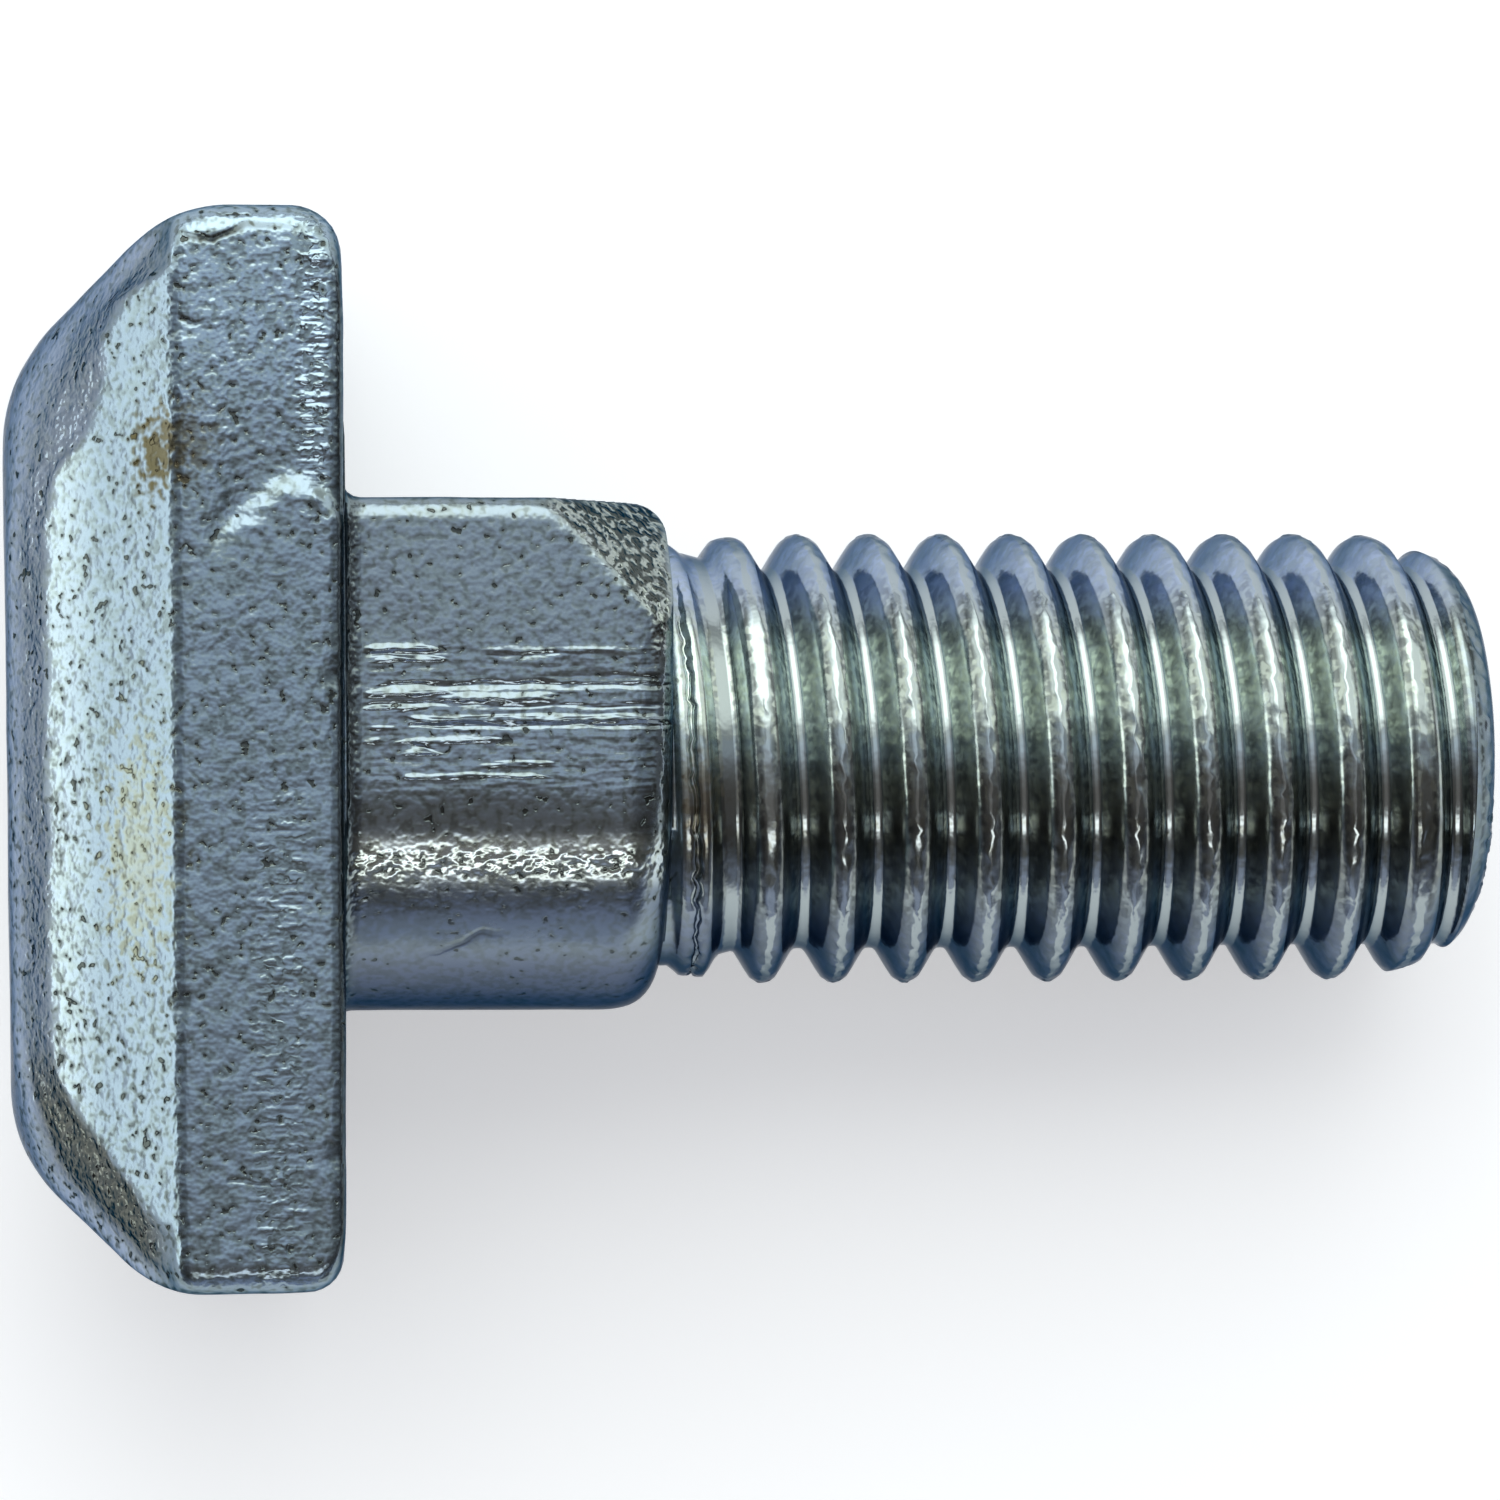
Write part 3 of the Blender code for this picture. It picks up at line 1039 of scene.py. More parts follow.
@dataclass
class Bolt:
    """The whole bolt: its head, neck and shank as one closed skin, with its surface relief."""

    axes: BoltAxes
    head: Head = field(default_factory=Head)
    neck: Neck = field(default_factory=Neck)
    shank: Shank = field(default_factory=Shank)
    relief: Relief = field(default_factory=Relief)
    tints: Tints = field(default_factory=Tints)
    step_width: float = 0.08
    thread_end: float = 0.62

    def skin(self) -> Skin:
        """Builds the skin from the crown's middle to the tip's middle.

        Returns:
            The closed skin.
        """
        skin = Skin()
        head = self.head.rings()
        neck = self.neck.rings(self.head.quadrant, self.shank.blank)
        share = (np.arange(1, self.neck.seat_rings) / self.neck.seat_rings)[:, None, None]
        seat = head[-1] + share * (neck[0] - head[-1])
        lip = neck[-1].copy()
        reach = np.hypot(lip[:, 1], lip[:, 2])[:, None]
        angle = 2 * math.pi * np.arange(len(lip)) / len(lip)
        circle = np.column_stack([np.cos(angle), np.sin(angle)]) * (self.shank.blank + self.step_width)
        stands_out = reach > self.shank.blank + self.step_width
        lip[:, 1:] = np.where(stands_out, circle, lip[:, 1:])
        share = (np.arange(1, self.neck.face_rings + 1) / self.neck.face_rings)[:, None, None]
        face = neck[-1] + share * (lip - neck[-1])
        rings = skin.add(np.concatenate([head, seat, neck, face]))
        rings[-len(face):] = np.where(stands_out[:, 0], rings[-len(face):], rings[-len(face) - 1])
        skin.tube(rings)
        skin.close(rings[0], self.head.middle(), opens=True)
        ends_at = self.shank.length - self.thread_end
        low, high = self.shank.wind(skin, ends_at)
        skin.stitch(rings[-1], low)
        tip = skin.add(self.shank.tip_rings(ends_at))
        skin.tube(np.vstack([high[None], tip]))
        skin.close(tip[-1], np.array([self.shank.length, 0.0, 0.0]), opens=False)
        return skin

    def wear(self, surface: Surface) -> np.ndarray:
        """Where the surface is dirty, polished or scratched, each from 0 to 1.

        Soil is where scale and grease stay on the crown's shoulder, the hips and the neck's cut corners;
        it also holds painted shade in the seam under the head, along the bearing face's rim and beside
        the thread's crests and roots. Rolling and wear polished those crests and roots, and painted
        shade dims that polish on the thread's lower band. The scratches run over the middle of the
        neck's upper flat.

        Args:
            surface: The skin's surface.

        Returns:
            Rows of soil, polish and scratches.
        """
        share = surface.share
        # Painted shade in the seam where the neck meets the head.
        seam_shade = hump(surface.x - 0.10, 0.10) * share(x=(0.0, 0.04))
        # Painted shade: the bearing face's rim is darkened in the soil layer too.
        edge = 0.9 * share(x=(-0.20, -0.08, 0.02, 0.06), **BEARING_EDGE)
        on_shank = share(x=(5.9, 6.4, 19.5, 19.7))
        # Painted shade: dark lines beside the thread's crests and roots, left out near the thread's top
        # and bottom.
        thread_shade = np.maximum(hump(surface.away - 0.165, 0.05), hump(surface.away - 0.45, 0.05))
        thread_shade = on_shank * thread_shade * 0.9 * smooth_step(np.abs(surface.y), 3.4, 2.4)
        shoulder = self.relief.shoulder(surface) * (0.5 + 0.3 * share(**CRISP_END))
        # The soil layer: dirt on the shoulder and cut corners, painted shade at the seam, the bearing
        # face's rim and the thread.
        soil = np.max([shoulder, share(**CUT_CORNER), seam_shade, edge, thread_shade], axis=0)
        polished = np.maximum(share(away=(0.10, 0.035), reach=(3.55, 3.70)), share(away=(0.47, 0.56)))
        # Painted shade: the polish is dimmed on the thread's lower band.
        burnish = on_shank * polished * (1 - 0.55 * share(**LEE))
        scratched = share(**INNER_NECK, y=(-0.9, -0.4, 1.75, 2.0), z=(3.8, 4.1))
        return np.column_stack([soil, burnish, scratched])

    def texture(self, surface: Surface, soil: np.ndarray) -> np.ndarray:
        """How deep the fine relief is in millimetres: the close worm pattern, the wider grain, the rungs.

        The worms are deepest along the neck's lower corner and where the soil layer is high, and the
        underside of the neck is nearly smooth.
        faces up, and a looser column lower down.

        Args:
            surface: The skin's surface.
            soil: The soil layer at each point: dirt, with painted shade in some places.

        Returns:
            Rows of three depths.
        """
        share = surface.share
        head, neck, bevel, side = share(**HEAD), share(**NECK), share(**BEVEL), share(**LONG_SIDE)
        corner = share(**NECK, y=(-2.12, -1.88, -1.68, -1.44), z=(0.0, 1.0))
        above = self.relief.above_ridge(surface)
        lap = smooth_step(above, 0.10, 0.0) * smooth_step(above, -0.75, -0.30)
        lap = side * share(x=(-2.1, -1.7)) * lap
        dirty = soil * (0.070 * bevel + 0.060 * neck)
        far_end = 0.010 * side * share(y=(4.0, 6.0))
        worm = 0.004 + 0.013 * head - 0.002 * bevel + 0.009 * neck + 0.014 * corner + dirty + far_end
        grain = 0.004 + 0.014 * head + 0.009 * neck + 0.050 * corner + 0.035 * lap
        upper = share(x=(-0.88, -0.62, -0.42, -0.16), y=(3.0, 4.0)) * (0.25 + 0.75 * share(y=(4.2, 5.2)))
        lower = share(x=(-1.70, -1.40, -0.80, -0.50), y=(0.5, -1.5)) * 0.28
        rungs = side * np.maximum(upper, lower) * 0.050
        smooth = 1 - 0.85 * share(**NECK, y=(-2.4, -2.8))
        return np.column_stack([worm * smooth, grain * smooth, rungs])

    def zones(self, surface: Surface) -> np.ndarray:
        """Where dark flecks lie, where the laps are, and where the rolled flanks are mottled.

        Args:
            surface: The skin's surface.

        Returns:
            Rows of three shares.
        """
        share = surface.share
        under = share(**NECK, y=(-2.3, -2.8))
        bevel = share(**BEVEL) * (0.15 - 0.35 * share(y=(3.0, -1.0)))
        flecks = share(**HEAD) * (0.45 - bevel) + share(**NECK) * 0.40 * (1 - 0.8 * under)
        flecks = flecks + 0.25 * share(x=(19.6, 19.9))
        flecks = flecks * (1 - 0.4 * share(x=(-0.2, -0.02, 0.05, 0.3)))
        lapped = share(**LONG_SIDE) + under
        return np.column_stack([flecks, lapped, share(x=(5.6, 5.9, 19.7, 19.9))])

    def build(self, limits: list[list[float]]) -> bpy.types.Object:
        """Makes the bolt's mesh and object, at the origin and with its place in its mesh.

        Args:
            limits: The box that the solid fills, which the skin stays inside.

        Returns:
            The object.
        """
        points, faces = self.skin().finished()
        surface = Surface(points, outward_normals(points, faces), self.shank)
        wear = self.wear(surface)
        layers = {
            Layer.WEAR: wear,
            Layer.TEXTURE: self.texture(surface, wear[:, 0]),
            Layer.ZONES: self.zones(surface),
            Layer.TINT: self.tints.over(surface, self.relief.shoulder(surface)),
        }
        raised = surface.normals * self.relief.height(surface)[:, None]
        moved = points + raised + self.relief.rolled(surface)
        placed = np.clip(self.axes.place(moved), *np.array(limits))
        mesh = bpy.data.meshes.new("bolt_skin")
        mesh.from_pydata(placed.tolist(), [], faces)
        mesh.polygons.foreach_set("use_smooth", np.ones(len(faces), dtype=bool))
        for layer, values in layers.items():
            filled = np.column_stack([values, np.ones(len(values))]).astype(np.float32)
            attribute = mesh.attributes.new(layer.value, "FLOAT_COLOR", "POINT")
            attribute.data.foreach_set("color", filled.ravel())
        mesh.update()
        return added("bolt_skin", mesh)


class Signal:
    """A shader socket that takes part in Python arithmetic. Each operation adds one Math node."""

    def __init__(self, graph: "Graph", socket: bpy.types.NodeSocket) -> None:
        """Wraps a socket of a node in graph."""
        self.graph = graph
        self.socket = socket

    def __add__(self, other: "Signal | float") -> "Signal":
        """This plus other."""
        return self.graph.math("ADD", self, other)

    def __sub__(self, other: "Signal | float") -> "Signal":
        """This less other."""
        return self.graph.math("SUBTRACT", self, other)

    def __rsub__(self, other: float) -> "Signal":
        """A number less this."""
        return self.graph.math("SUBTRACT", other, self)

    def __mul__(self, other: "Signal | float") -> "Signal":
        """This times other."""
        return self.graph.math("MULTIPLY", self, other)

    def __truediv__(self, other: "Signal | float") -> "Signal":
        """This divided by other."""
        return self.graph.math("DIVIDE", self, other)


class Graph:
    """The node tree of a material or world, and the few ways in which nodes are added to it."""

    def __init__(self, owner: bpy.types.Material | bpy.types.World) -> None:
        """Empties the owner's node tree and takes it over.

        Args:
            owner: The material or world.
        """
        owner.use_nodes = True
        owner.node_tree.nodes.clear()
        self.tree = owner.node_tree

    def node(self, kind: str, settings: dict | None = None, inputs: dict | None = None) -> bpy.types.Node:
        """Adds a node.

        Args:
            kind: The node's type, without the ShaderNode that all types start with.
            settings: Its properties, set first.
            inputs: Values or Signals for its sockets, by name or number.

        Returns:
            The node.
        """
        made = self.tree.nodes.new("ShaderNode" + kind)
        for name, value in (settings or {}).items():
            setattr(made, name, value)
        for name, value in (inputs or {}).items():
            if isinstance(value, Signal):
                self.tree.links.new(value.socket, made.inputs[name])
            else:
                made.inputs[name].default_value = value
        return made

    def signal(
        self, kind: str, output: str | int, settings: dict | None = None, inputs: dict | None = None
    ) -> Signal:
        """Adds a node as node does, and gives the output of this name or number."""
        return Signal(self, self.node(kind, settings, inputs).outputs[output])

    def parts(self, kind: str, value: Signal) -> list[Signal]:
        """Adds a node that splits a value, and gives all of its outputs."""
        return [Signal(self, socket) for socket in self.node(kind, None, {0: value}).outputs]

    def math(self, operation: str, *values: "Signal | float") -> Signal:
        """Adds a Math node on one, two or three values."""
        return self.signal("Math", 0, {"operation": operation}, dict(enumerate(values)))

    def vector(self, operation: str, first: Signal, second: tuple[float, float, float]) -> Signal:
        """Adds a Vector Math node on a vector and a constant one."""
        return self.signal("VectorMath", 0, {"operation": operation}, {0: first, 1: second})

    def step(self, value: Signal, low: float, high: float) -> Signal:
        """A smooth step from 0 at low to 1 at high."""
        inputs = {0: value, 1: low, 2: high, 3: 0.0, 4: 1.0}
        return self.signal("MapRange", 0, {"interpolation_type": "SMOOTHSTEP"}, inputs)

    def mix(self, factor: Signal, first: Signal, second: Colour, way: str = "MIX") -> Signal:
        """Lays one colour over another.

        Args:
            factor: How much of the second colour shows.
            first: The colour below.
            second: The colour above.
            way: The Mix node's blend type.

        Returns:
            The mixed colour.
        """
        settings = {"data_type": "RGBA", "blend_type": way}
        return self.signal("Mix", 2, settings, {0: factor, 6: first, 7: (*second, 1.0)})

    def noise(self, place: Signal, scale: float, detail: float) -> Signal:
        """Noise from 0 to 1 with this many waves in a unit of place."""
        inputs = {"Vector": place, "Scale": scale, "Detail": detail, "Roughness": 0.5}
        return self.signal("TexNoise", 0, None, inputs)

    def layer(self, layer: Layer) -> Signal:
        """The colour that one of the mesh's layers holds at each point."""
        return self.signal("Attribute", "Color", {"attribute_name": layer.value})

    def ramp(self, value: Signal, stops: list[tuple[float, Colour]]) -> Signal:
        """Adds a colour ramp.

        Args:
            value: Where along the ramp.
            stops: The ramp's positions and colours.

        Returns:
            The colour.
        """
        made = self.node("ValToRGB", None, {0: value})
        elements = made.color_ramp.elements
        while len(elements) < len(stops):
            elements.new(1.0)
        for element, (position, colour) in zip(elements, stops):
            element.position = position
            element.color = (*colour, 1.0)
        return Signal(self, made.outputs[0])

    def curve(self, value: Signal, heights: np.ndarray) -> Signal:
        """Adds a float curve of straight lines.

        Args:
            value: Where along the curve, from 0 to 1.
            heights: The curve's heights from 0 to 1, evenly spaced.

        Returns:
            The height.
        """
        made = self.node("FloatCurve", None, {"Value": value})
        points = made.mapping.curves[0].points
        for position in np.linspace(0, 1, len(heights))[1:-1]:
            points.new(float(position), 0.5)
        for point, height in zip(points, heights):
            point.location = (point.location[0], float(height))
            point.handle_type = "VECTOR"
        made.mapping.update()
        return Signal(self, made.outputs[0])


@dataclass(frozen=True)
class Scratch:
    """A fine mark along the neck's upper flat, at y, from start to end in X."""

    y: float
    start: float
    end: float
    height: float
    width: float = 0.035


@dataclass(frozen=True)
class Lap:
    """A fold or cut in the forged skin of the long side: a line through points of X and Y.

    depths holds how deep it is at each point, and width is half its breadth. The depth runs out over
    taper past both ends.
    """

    path: Line
    depths: tuple[float, ...]
    width: float
    soil: float
    taper: float = 0.06
    samples: int = 180

    def sampled(
        self, window: tuple[float, float], reach: float, deepest: float
    ) -> tuple[np.ndarray, np.ndarray]:
        """The line and its depth at evenly spaced X, each as values from 0 to 1.

        Args:
            window: Where the samples start and end in X.
            reach: The line's Y runs from minus this to this.
            deepest: The depth that counts as 1.

        Returns:
            The line's samples and the depth's samples.
        """
        along, across = np.array(self.path).T
        x = np.linspace(*window, self.samples)
        line = np.interp(x, along, across)
        ends = [along[0] - self.taper, *along, along[-1] + self.taper]
        depth = np.interp(x, ends, [0, *self.depths, 0])
        return (line + reach) / (2 * reach), depth / deepest


@dataclass(frozen=True)
class Stain:
    """A cloudy spot of another colour, round a point."""

    centre: tuple[float, float, float]
    size: tuple[float, float, float]
    colour: Colour
    strength: float


@dataclass(frozen=True)
class ZincFinish:
    """Bright zinc plating over forged and rolled steel: blue-grey, satin, finely grained and pitted."""

    axes: BoltAxes
    # The dark colour of scale, also used for the painted shade that the soil layer holds.
    scale: Colour = (0.060, 0.068, 0.062)
    polished: Colour = (0.37, 0.42, 0.42)
    speckle: Colour = (0.90, 0.89, 0.81)
    grazing: tuple[float, float, float, float] = (0.22, 0.27, 0.34, 1.0)
    roughness: float = 0.25
    worm_waves: float = 6.5
    grain_waves: float = 3.1
    cloud_waves: float = 1.2
    streak_waves: tuple[float, float, float] = (1.6, 7.0, 1.9)
    burnish_edge: Span = (0.28, 0.60)
    pit_edge: Span = (0.55, 0.48)
    pit_depth: float = 0.03
    rung_edge: Span = (0.40, 0.56)
    pale_edge: Span = (0.60, 0.40)
    fleck_edge: Span = (0.48, 0.32)
    soil_edge: Span = (0.38, 0.55)
    mottle_edge: Span = (0.42, 0.64)
    mottle_strength: float = 0.19
    stain_edge: Span = (1.25, 0.25)
    stain_fray: float = 2.6
    darkest: float = 0.95
    burnish_strength: float = 0.8
    scratched: tuple[float, float] = (-0.65, 2.0)
    scratch_full: float = 0.08
    scratch_samples: int = 240
    stretches: tuple[float, ...] = (0.1, 0.65, 1.1, 1.65, 2.45, 3.4, 5.3)
    stretch_blend: float = 0.18
    scratches: tuple[Scratch, ...] = tuple(Scratch(*values) for values in (
        (1.80, 0.0, 1.7, 0.030, 0.05), (1.70, 0.0, 1.7, -0.026), (1.61, 0.6, 1.7, 0.026),
        (1.76, 2.4, 5.3, 0.010, 0.05), (1.66, 2.4, 3.4, -0.008), (1.30, 3.3, 5.3, -0.012, 0.06),
        (1.17, 0.6, 5.3, -0.024, 0.05), (1.04, 0.0, 1.7, 0.032, 0.05), (0.96, 1.6, 3.5, 0.034, 0.06),
        (0.87, 0.0, 1.7, -0.024), (0.78, 0.0, 1.1, 0.026), (0.83, 1.6, 5.3, -0.012),
        (0.60, 1.0, 5.4, 0.044, 0.05), (0.50, 1.0, 5.3, -0.026), (0.45, 0.0, 0.7, 0.014),
        (0.25, 0.0, 0.7, 0.026), (0.25, 1.0, 2.5, 0.024), (0.16, 1.0, 1.7, -0.024),
        (0.06, 0.9, 1.7, 0.030), (-0.14, 2.4, 3.4, 0.014), (-0.33, 1.1, 3.4, 0.016),
    ))
    lap_window: tuple[float, float] = (-2.9, 4.0)
    lap_reach: float = 9.3
    lap_deepest: float = 0.08
    lap_relief: float = 0.22
    laps: tuple[Lap, ...] = (
        Lap(((-2.62, 8.58), (-2.35, 8.52), (-2.12, 8.53), (-1.79, 8.68), (-1.60, 8.77), (-1.0, 8.76),
             (-0.5, 8.66)),
            (0.05, 0.07, 0.08, 0.08, 0.05, 0.03, 0.01), 0.055, 0.95),
        Lap(((-2.74, 7.22), (-2.60, 7.16), (-2.45, 7.12), (-2.32, 7.16)),
            (0.03, 0.07, 0.06, 0.02), 0.055, 0.8),
        Lap(((-1.95, -6.98), (-1.5, -7.04), (-1.1, -7.07)), (0.04, 0.035, 0.015), 0.045, 0.5),
        Lap(((-2.62, -5.60), (-2.30, -5.66), (-2.10, -5.78)), (0.01, 0.02, 0.01), 0.05, 0.7),
        Lap(((1.30, -3.36), (1.60, -3.28), (1.99, -3.13), (2.20, -3.0), (2.40, -2.93), (2.68, -2.95)),
            (0.01, 0.03, 0.06, 0.06, 0.05, 0.02), 0.055, 0.6),
    )
    stains: tuple[Stain, ...] = (
        Stain((-3.05, 5.02, 4.55), (0.50, 0.76, 0.6), (0.070, 0.056, 0.022), 0.92),
        Stain((-2.60, 5.25, 4.85), (0.62, 0.62, 0.6), (0.11, 0.10, 0.07), 0.6),
        Stain((-3.4, -1.6, 4.2), (0.8, 1.9, 0.9), (0.27, 0.28, 0.20), 0.5),
        Stain((6.05, -0.75, 3.5), (0.35, 0.8, 0.9), (0.26, 0.21, 0.13), 0.5),
    )

    def coordinates(self, graph: Graph) -> Signal:
        """Object coordinates as millimetres in the bolt's axes, by a Mapping node.

        Args:
            graph: The material's graph.

        Returns:
            The place of each point.
        """
        turn = Matrix(self.axes.turn.tolist())
        shift = -(self.axes.turn @ self.axes.origin) / MM
        return graph.signal("Mapping", 0, {"vector_type": "POINT"}, {
            "Vector": graph.signal("TexCoord", "Object"), "Location": shift.tolist(),
            "Rotation": turn.to_euler(), "Scale": (1 / MM,) * 3,
        })

    def lap_depth(self, graph: Graph, x: Signal, y: Signal) -> tuple[Signal, Signal]:
        """The laps' depth and soil. Each is the bell 1 / (1 + (distance / width)^4) along its line.

        Args:
            graph: The material's graph.
            x: X in the bolt's axes.
            y: Y in the bolt's axes.

        Returns:
            The depth in millimetres and the soil's share.
        """
        low, high = self.lap_window
        along = (x - low) / (high - low)
        total: Signal | float = 0.0
        soil: Signal | float = 0.0
        for lap in self.laps:
            line, depth = lap.sampled(self.lap_window, self.lap_reach, self.lap_deepest)
            level, share = graph.curve(along, line), graph.curve(along, depth)
            away = (y + self.lap_reach) / lap.width - level * (2 * self.lap_reach / lap.width)
            square = away * away
            bell = share / graph.math("MULTIPLY_ADD", square, square, 1.0)
            total = graph.math("MULTIPLY_ADD", bell, self.lap_deepest * self.lap_relief, total)
            soil = graph.math("MULTIPLY_ADD", bell, lap.soil, soil)
        return total, soil

    def scratch_curve(self, middle: float) -> np.ndarray:
        """The neck flat's section across the scratches that pass a place, as values from 0 to 1.

        Each scratch adds the bell exp(-(distance / width)^2), and 0.5 is the level of the flat.

        Args:
            middle: The place's X.

        Returns:
            The section, evenly spaced over the scratched stretch.
        """
        y = np.linspace(*self.scratched, self.scratch_samples)
        total = np.full_like(y, 0.5)
        for mark in self.scratches:
            if mark.start < middle < mark.end:
                total += mark.height / self.scratch_full * hump(y - mark.y, mark.width)
        return np.clip(total, 0.0, 1.0)

    def scratch_height(self, graph: Graph, x: Signal, y: Signal) -> Signal:
        """The scratches' height along the flat, from the sections of its stretches joined one by one.

        Args:
            graph: The material's graph.
            x: X in the bolt's axes.
            y: Y in the bolt's axes.

        Returns:
            The height in millimetres.
        """
        low, high = self.scratched
        across = (y - low) / (high - low)
        total: Signal | None = None
        for begin, finish in zip(self.stretches, self.stretches[1:]):
            section = graph.curve(across, self.scratch_curve((begin + finish) / 2))
            height = (section - 0.5) * self.scratch_full
            share = graph.step(x, begin - self.stretch_blend, begin + self.stretch_blend)
            total = height if total is None else total + (height - total) * share
        return total

    def stained(self, graph: Graph, place: Signal, cloud: Signal, colour: Signal) -> Signal:
        """Lays the stains over a colour.

        Args:
            graph: The material's graph.
            place: The place of each point.
            cloud: Noise that breaks up the stains' edges.
            colour: The colour below.

        Returns:
            The stained colour.
        """
        for stain in self.stains:
            offset = graph.vector("SUBTRACT", place, stain.centre)
            scaled = graph.vector("DIVIDE", offset, stain.size)
            away = graph.signal("VectorMath", "Value", {"operation": "LENGTH"}, {0: scaled})
            share = graph.step(away + (cloud - 0.5) * self.stain_fray, *self.stain_edge)
            colour = graph.mix(share * stain.strength, colour, stain.colour)
        return colour

    def material(self) -> bpy.types.Material:
        """Builds the finish.

        Worms are the close pattern of the relief, grain the wider one and streaks the one drawn out
        along the bolt. Clouds change the colour and the gloss slowly.

        Returns:
            The material.
        """
        made = bpy.data.materials.new(SLOT)
        graph = Graph(made)
        place = self.coordinates(graph)
        x, y, _ = graph.parts("SeparateXYZ", place)
        soil, burnish, scratched = graph.parts("SeparateColor", graph.layer(Layer.WEAR))
        worm_depth, grain_depth, rung_depth = graph.parts("SeparateColor", graph.layer(Layer.TEXTURE))
        flecks, side, mottle = graph.parts("SeparateColor", graph.layer(Layer.ZONES))

        worm = graph.noise(place, self.worm_waves, 1.0)
        grain = graph.noise(place, self.grain_waves, 1.0)
        cloud = graph.noise(place, self.cloud_waves, 2.0)
        streak = graph.noise(graph.vector("MULTIPLY", place, self.streak_waves), 1.0, 1.0)
        burnish = graph.step(burnish + (worm - 0.5) * 0.9, *self.burnish_edge)
        depth, lap_soil = self.lap_depth(graph, x, y + (grain - 0.5) * 0.12)
        pit = graph.step(graph.math("MULTIPLY_ADD", grain, 0.5, worm), *self.pit_edge)

        lines = self.scratch_height(graph, x + (streak - 0.5) * 1.1, y + (streak - 0.5) * 0.13)
        height = (worm - 0.5) * worm_depth + (grain - 0.5) * grain_depth
        height = height + (streak - 0.5) * graph.step(worm, *self.rung_edge) * rung_depth * 2.0
        height = height - pit * flecks * self.pit_depth - depth * side
        height = height + (lines * (grain * 2.2 - 0.1) + (streak - 0.5) * 0.018) * scratched
        bump = graph.signal("Bump", 0, None, {"Height": height, "Distance": MM, "Strength": 1.0})

        pale = graph.step(worm + (cloud - 0.5) * 0.5, *self.pale_edge) * (1.0 - burnish)
        tint = graph.mix(pale, graph.layer(Layer.TINT), self.speckle, "MULTIPLY")
        dark = graph.step(worm, *self.fleck_edge) * flecks + pit * (1.0 - mottle) * 0.7
        # The soil layer's share of the dark colour is partly dirt and partly painted shade.
        dark = dark + soil * (graph.step(worm, *self.soil_edge) * 0.92 + 0.03) + lap_soil * side
        mottled = graph.step(grain + (worm - 0.5) * 0.5, *self.mottle_edge)
        dark = dark + mottled * mottle * (1.0 - burnish) * self.mottle_strength
        colour = graph.mix(graph.math("MINIMUM", dark, self.darkest), tint, self.scale)
        colour = graph.mix(burnish * self.burnish_strength, colour, self.polished)
        colour = self.stained(graph, place, worm, colour)
        roughness = (cloud - 0.5) * 0.12 + self.roughness + soil * 0.06 - worm_depth * 2.5
        roughness = roughness - (mottle + scratched) * 0.08

        shader = graph.signal("BsdfPrincipled", 0, None, {
            "Base Color": colour, "Metallic": 1.0, "Roughness": roughness, "Normal": bump,
            "Specular Tint": self.grazing,
        })
        graph.node("OutputMaterial", None, {"Surface": shader})
        return made


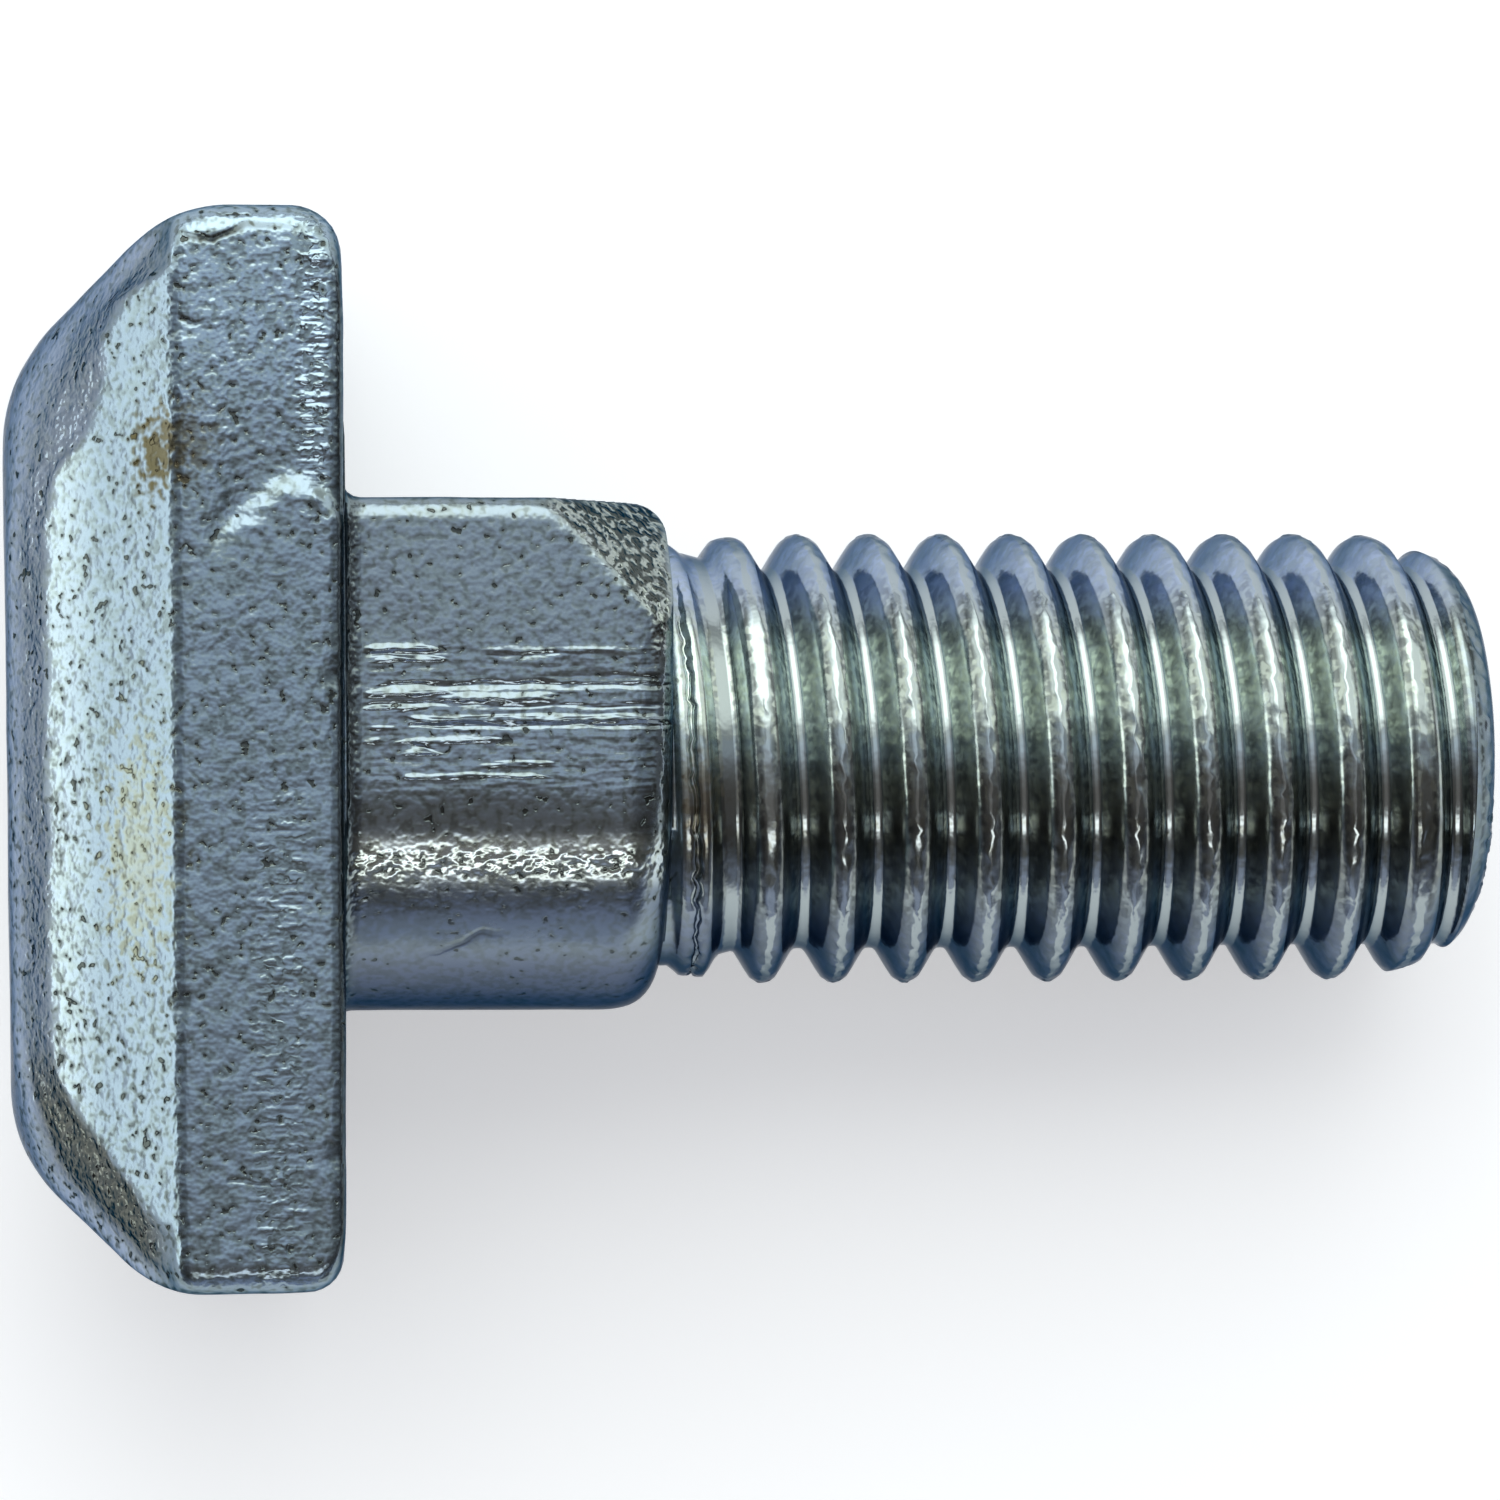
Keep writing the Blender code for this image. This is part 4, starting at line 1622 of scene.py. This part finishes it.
@dataclass(frozen=True)
class Studio:
    """The floor, the light and the camera.

    walls holds the walls' colours by their angle off the zenith in degrees, positive to +Y. They are
    shaded towards both ends of the bolt. The lamp is a strip along it on its -Y side, near is the light
    beyond the head and far the dark beyond the tip. Their other spans are in parts of the direction's
    unit length, along the bolt or across it.
    """

    axes: BoltAxes
    floor_size: float = 8.0
    floor_colour: Colour = (0.74, 0.74, 0.77)
    floor_glow: float = 0.44
    light_strength: float = 3.0
    walls: tuple[tuple[float, Colour], ...] = (
        (-180, (0.15, 0.16, 0.19)), (-74, (0.15, 0.165, 0.215)), (-63, (0.050, 0.050, 0.052)),
        (-20, (0.067, 0.059, 0.056)), (-8, (0.115, 0.115, 0.12)), (-4, (0.165, 0.17, 0.19)),
        (0, (0.20, 0.21, 0.235)), (6, (0.29, 0.33, 0.38)), (14, (0.22, 0.23, 0.23)),
        (24, (0.90, 0.94, 0.90)), (68, (0.90, 0.94, 0.90)), (84, (0.22, 0.23, 0.24)),
        (180, (0.15, 0.16, 0.18)),
    )
    end_shade: Colour = (0.50, 0.50, 0.50)
    end_span: Span = (0.24, 0.46)
    lamp: Colour = (1.06, 1.06, 1.06)
    lamp_rise: Span = (-49, -44)
    lamp_fall: Span = (-37, -41)
    lamp_middle: float = 0.12
    lamp_reach: Span = (0.42, 0.22)
    near: Colour = (0.86, 0.92, 0.90)
    near_span: Span = (-0.92, -0.965)
    near_reach: Span = (0.42, 0.25)
    far: Colour = (0.07, 0.07, 0.075)
    far_span: Span = (0.86, 0.96)
    camera_distance: float = 111.625
    camera_turn: float = 6.6806
    camera_nod: float = 1.0
    camera_roll: float = 0.3164
    aim: tuple[float, float] = (7.2763, 0.1529)
    lens: float = 154.158

    def floor(self) -> None:
        """A plain pale floor, wide enough to fill every view, that keeps the bolt's shadow."""
        half = self.floor_size / 2
        corners = [(-half, -half, 0.0), (half, -half, 0.0), (half, half, 0.0), (-half, half, 0.0)]
        mesh = bpy.data.meshes.new("floor")
        mesh.from_pydata(corners, [], [(0, 1, 2, 3)])
        made = added("floor", mesh)
        paper = bpy.data.materials.new("pale_floor")
        graph = Graph(paper)
        path = graph.node("LightPath")
        names = ("Is Camera Ray", "Is Glossy Ray", "Is Transmission Ray")
        rays = [Signal(graph, path.outputs[name]) for name in names]
        seen = graph.math("MAXIMUM", graph.math("MAXIMUM", rays[0], rays[1]), rays[2])
        matt = graph.signal("BsdfDiffuse", 0, None, {"Color": (*self.floor_colour, 1.0)})
        glow = graph.signal("Emission", 0, None, {"Strength": seen * self.floor_glow})
        both = graph.signal("AddShader", 0, None, {0: matt, 1: glow})
        graph.node("OutputMaterial", None, {"Surface": both})
        made.data.materials.append(paper)
        made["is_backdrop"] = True

    def surroundings(self) -> None:
        """Soft studio walls as a world of colours that change with the angle about the bolt's axis."""
        world = bpy.data.worlds.new("studio")
        bpy.context.scene.world = world
        graph = Graph(world)
        along, across, up = graph.parts("SeparateXYZ", graph.signal("TexCoord", "Generated"))
        angle = graph.math("ARCTAN2", across, up) / (2 * math.pi) + 0.5
        lit = graph.ramp(angle, [(self.turned(degrees), colour) for degrees, colour in self.walls])
        ends = graph.step(graph.math("ABSOLUTE", along), *self.end_span)
        lit = graph.mix(ends, lit, self.end_shade, "MULTIPLY")
        lamp = graph.step(angle, *map(self.turned, self.lamp_rise))
        lamp = lamp * graph.step(angle, *map(self.turned, self.lamp_fall))
        lamp = lamp * graph.step(graph.math("ABSOLUTE", along - self.lamp_middle), *self.lamp_reach)
        near = graph.step(along, *self.near_span)
        near = near * graph.step(graph.math("ABSOLUTE", across), *self.near_reach)
        far = graph.step(along, *self.far_span)
        for share, colour in ((lamp, self.lamp), (near, self.near), (far, self.far)):
            lit = graph.mix(share, lit, colour)
        back = graph.signal("Background", 0, None, {"Color": lit, "Strength": self.light_strength})
        graph.node("OutputWorld", None, {"Surface": back})

    @staticmethod
    def turned(degrees: float) -> float:
        """An angle off the zenith as a share of the turn round the bolt, with the zenith at a half."""
        return 0.5 + degrees / 360

    def camera(self) -> None:
        """The camera, where it stood when the photograph was taken."""
        angles = (self.camera_turn, self.camera_nod, self.camera_roll)
        turn, nod, roll = (math.radians(angle) for angle in angles)
        right = np.array([math.cos(turn), 0.0, math.sin(turn)])
        back = np.array([-math.cos(nod) * math.sin(turn), -math.sin(nod), math.cos(nod) * math.cos(turn)])
        level = np.vstack([right, np.cross(back, right), back])
        tilt = np.array([
            [math.cos(roll), -math.sin(roll), 0.0],
            [math.sin(roll), math.cos(roll), 0.0],
            [0.0, 0.0, 1.0],
        ])
        data = bpy.data.cameras.new("photo_camera")
        data.sensor_width = SENSOR_MM
        data.lens = self.lens
        data.clip_start = MM
        made = added("photo_camera", data)
        position = np.array([*self.aim, 0.0]) + self.camera_distance * back
        made.matrix_world = self.axes.matrix(tilt @ level, position)
        bpy.context.scene.camera = made

    def set_up(self) -> None:
        """Builds the whole studio."""
        self.floor()
        self.surroundings()
        self.camera()
        bpy.context.scene.view_settings.view_transform = "Standard"


def size_lists() -> list[list[float]]:
    """The box of what is shown now, lowest corner first, as plain numbers."""
    return [[float(number) for number in corner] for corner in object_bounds()]


def main() -> None:
    """Builds the bolt over its solid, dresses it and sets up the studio."""
    logging.basicConfig(level=logging.INFO, format="%(message)s")
    sizes = {"cad": size_lists()}
    axes = BoltAxes.from_record(frame["record"])
    bolt = Bolt(axes).build(sizes["cad"])
    bolt.data.materials.append(ZincFinish(axes).material())
    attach(bolt, BODY)
    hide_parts(NODE)
    log.info("%s: %d points, %d faces", bolt.name, len(bolt.data.vertices), len(bolt.data.polygons))
    Studio(axes).set_up()
    sizes["scene"] = size_lists()


if __name__ == "__main__":
    main()
